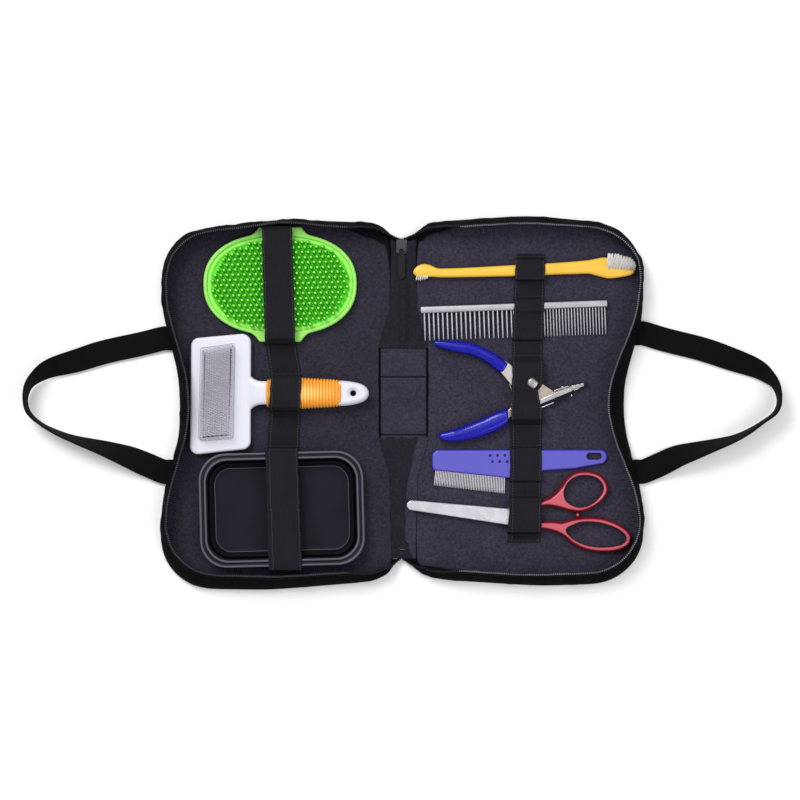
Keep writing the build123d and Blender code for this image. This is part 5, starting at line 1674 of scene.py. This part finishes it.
def ring_outline(points, sharp_ends):
    """A closed smooth curve through the points; sharp_ends leaves the shank's cut end straight."""
    p = np.asarray(points, float)
    if sharp_ends:
        return ccw(smooth_path(p, 260))
    closed = smooth_path(np.vstack([p[-2:], p, p[:2]]), 400)
    start = int(np.argmin(np.linalg.norm(closed[:200] - p[0], axis=1)))
    stop = 200 + int(np.argmin(np.linalg.norm(closed[200:] - p[0], axis=1)))
    return ccw(even(closed[start:stop], 200, loop=True))


scissors_pivot = (108.5, -112)


def scissors_blades():
    """Two flat blades with their shanks, each with a hole for the screw."""
    blade_a = [
        (1.8, -100.4), (7.2, -96.2), (102, -104.5), (118, -103), (134, -97.6), (150, -98), (150, -101.4),
        (134.4, -102), (118, -117), (103, -121), (5.2, -105.9),
    ]
    blade_b = [
        (1.8, -100.4), (7.2, -96.2), (102, -104.5), (118, -107), (134, -117.8), (150, -119), (150, -123.4),
        (134, -124.2), (118, -119.5), (103, -121), (5.2, -105.9),
    ]
    blade_rows = [(0.15, 0.0), (0, 0.2), (0, 1.1), (0.25, 1.5), (0.9, 1.8)]
    screw_hole = circle(*scissors_pivot, 2.65, 30)
    for label, outline, z, rides, old in (
        ("scissors_under_blade", blade_a, 6.4, "scissors", "scissors_lower_blade"),
        ("scissors_over_blade", blade_b, 8.4, "scissors_half", "scissors_upper_blade"),
    ):
        line = round_line(outline, [4.0, 4.0, 8, 6, 3, 1.5, 1.5, 3, 8, 5, 4.0], 0.8)
        skin = dished(line, blade_rows, z, holes=[(screw_hole, [(0, 0), (0, 1.8)])])
        make_piece(label, skin, SHEARS, rides, 35, [old])


def scissors_loops():
    """Two finger loops, the slotted screw and the stop bead."""
    upper_ring_out = [
        (134.6, -97.2), (141, -95.0), (147.6, -91.7), (155.8, -83.5), (162.3, -74.4), (172, -68.0),
        (185, -67.0), (197, -71.2), (203.6, -80.3), (204.0, -88.4), (198, -97.6), (187.5, -104.8),
        (176, -108.4), (165, -107.1), (154.1, -104.2), (144.4, -102.6), (134.6, -103.4),
    ]
    upper_ring_in = [
        (159.6, -88.4), (163.2, -79.2), (172, -72.5), (184, -71.6), (193.6, -75), (198.8, -82.2),
        (197, -91), (188, -99.8), (177, -103.6), (167.6, -101.5), (161.2, -96.2),
    ]
    lower_ring_out = [
        (135.4, -117.2), (147.6, -116.7), (158, -117.6), (169, -114.6), (183.4, -112.9), (199.7, -114.2),
        (215.4, -120.2), (224.9, -127.4), (227.8, -134), (224.6, -142.0), (214, -147.2), (198, -148.6),
        (181.8, -146.4), (168.8, -140.5), (158, -131.8), (147.6, -127.4), (135.4, -125.2),
    ]
    lower_ring_in = [
        (161.6, -125.8), (168.8, -120.6), (180.2, -117.6), (197.5, -119), (213.5, -125), (221.6, -132.6),
        (219, -139.4), (207.8, -142.6), (192.5, -143), (177.9, -139.9), (167, -133.6),
    ]


    for label, outside, inside, rides, old in (
        ("scissors_top_loop", upper_ring_out, upper_ring_in, "scissors", "scissors_upper_handle"),
        ("scissors_bottom_loop", lower_ring_out, lower_ring_in, "scissors_half", "scissors_lower_handle"),
    ):
        rows = [
            (0.9, 4.32), (0.2, 4.9), (0, 6.0), (0.1, 7.6), (0.5, 9.0), (1.2, 10.3), (2.0, 11.3),
            (2.7, 11.9), (3.2, 12.15),
        ]
        inner_rows = [(0.7, 4.32), (0.1, 5.0), (0, 7.0), (0, 10.6), (0.2, 11.6), (0.6, 12.15), (0.9, 12.25)]
        skin = dished(ring_outline(outside, True), rows, holes=[(ring_outline(inside, False), inner_rows)])
        make_piece(label, skin, RED, rides, 50, [old])
    screw_rows = [(1.6, 6.5), (1.6, 10.4), (0, 10.45), (0, 10.9), (0.4, 11.25), (1.2, 11.4)]
    groove = round_line(
        [(105.4, -112.4), (111.6, -112.4), (111.6, -111.6), (105.4, -111.6)], [0.2] * 4, 0.3,
    )
    skin = dished(circle(*scissors_pivot, 4.2, 48), screw_rows, cups=[(groove, [(0.05, 10.9), (0, 11.4)])])
    make_piece("scissors_pivot_screw", skin, TOOL, "scissors", 35, ["scissors_screw"])
    bead_rows = [(0.4, 6.8), (0, 7.2), (0, 9.6), (0.6, 10.9), (1.3, 11.6), (1.8, 11.8)]
    skin = dished(circle(173.4, -110.9, 2.4, 30, 2.6), bead_rows)
    make_piece("scissors_stop_bead", skin, RED, "scissors", 50, ["scissors_bumper"])


sides = ((-1, "left"), (1, "right"))
for (side, name), pull in zip(sides, (1.5, 11.0)):
    edge = Edge(side, pull)
    sew_wall(edge, name)
    lay_board(edge, name)
    lay_lining(edge, name)
    for upper in (True, False):
        sew_corner(edge, name, upper)
sew_spine()
for side, name in sides:
    sew_gusset(side, name, "upper", *upper_gusset)
    sew_gusset(side, name, "lower", *lower_gusset)
sew_gusset(1, "right", "cover", *lower_gusset)
for side, name in sides:
    strap_handle(side, name)
for name, centres in (("left", left_centres), ("right", right_centres)):
    lay_strap(name, centres)
    sew_stitches(name, centres)
for make_tool in (
    rubber_brush, slicker_head, slicker_handle, bowl, toothbrush, steel_comb, clipper_plates, clipper_jaw,
    clipper_fittings, clipper_sleeves, flea_comb, scissors_blades, scissors_loops,
):
    make_tool()

# CAD nodes that stay in view
for node_name, finish in (
    ("spine_panel", NYLON), ("zip_slider", ENAMEL), ("zip_end_stop", BLACK_METAL),
    ("zip_pull_tab", BLACK_METAL),
):
    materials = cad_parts[node_name].data.materials
    materials.clear()
    materials.append(finish)

# Floor, lights and camera
floor_mesh = bpy.data.meshes.new("floor")
grid_x, grid_y = np.meshgrid(np.linspace(-4, 4, 9), np.linspace(-4, 4, 9))
floor_points = np.stack([grid_x, grid_y, np.full_like(grid_x, -0.0012)], -1).reshape(-1, 3)
floor_faces = [
    [9 * i + j, 9 * i + j + 1, 9 * i + j + 10, 9 * i + j + 9] for i in range(8) for j in range(8)
]
floor_mesh.from_pydata(floor_points.tolist(), [], floor_faces)
floor = bpy.data.objects.new("floor", floor_mesh)
bpy.context.scene.collection.objects.link(floor)
f = Finish("paper_floor")
grain = f.noise(0.0012, 3.0)
floor_mesh.materials.append(
    f.finish(
        f.mix(grain, (0.86, 0.86, 0.87), (0.93, 0.93, 0.94)), 0.9, grain, 0.00005, specular_ior_level=0.1,
    )
)

world = bpy.data.worlds.new("studio")
world.use_nodes = True
bpy.context.scene.world = world
background = world.node_tree.nodes["Background"]
background.inputs["Color"].default_value = (1.0, 1.0, 1.0, 1.0)
background.inputs["Strength"].default_value = 0.55


def soft_box(name, spot, size, power, aim=(0, 0, 0)):
    """A square area light at spot that faces aim, in metres."""
    lamp = bpy.data.lights.new(name, "AREA")
    lamp.shape = "SQUARE"
    lamp.size = size
    lamp.energy = power
    made = bpy.data.objects.new(name, lamp)
    made.location = spot
    ray = np.array(aim, float) - np.array(spot, float)
    made.rotation_euler = (atan2(hypot(ray[0], ray[1]), -ray[2]), 0, atan2(ray[1], ray[0]) - pi / 2)
    bpy.context.scene.collection.objects.link(made)
    return made


soft_box("key_light", (-1.1, 1.5, 2.0), 1.3, 54)
soft_box("fill_light", (1.5, -0.6, 2.1), 1.8, 24)
soft_box("overhead_light", (-0.5, 0.7, 3.0), 1.6, 9)

camera_data = bpy.data.cameras.new("camera")
camera_data.sensor_width = 36.0
camera_height = 2.3
camera_data.lens = 36.0 * camera_height / 0.8
camera_data.clip_end = 20.0
camera = bpy.data.objects.new("camera", camera_data)
camera.location = (-0.0035, 0.0035, camera_height)
bpy.context.scene.collection.objects.link(camera)
bpy.context.scene.camera = camera
bpy.context.scene.view_settings.view_transform = "Standard"
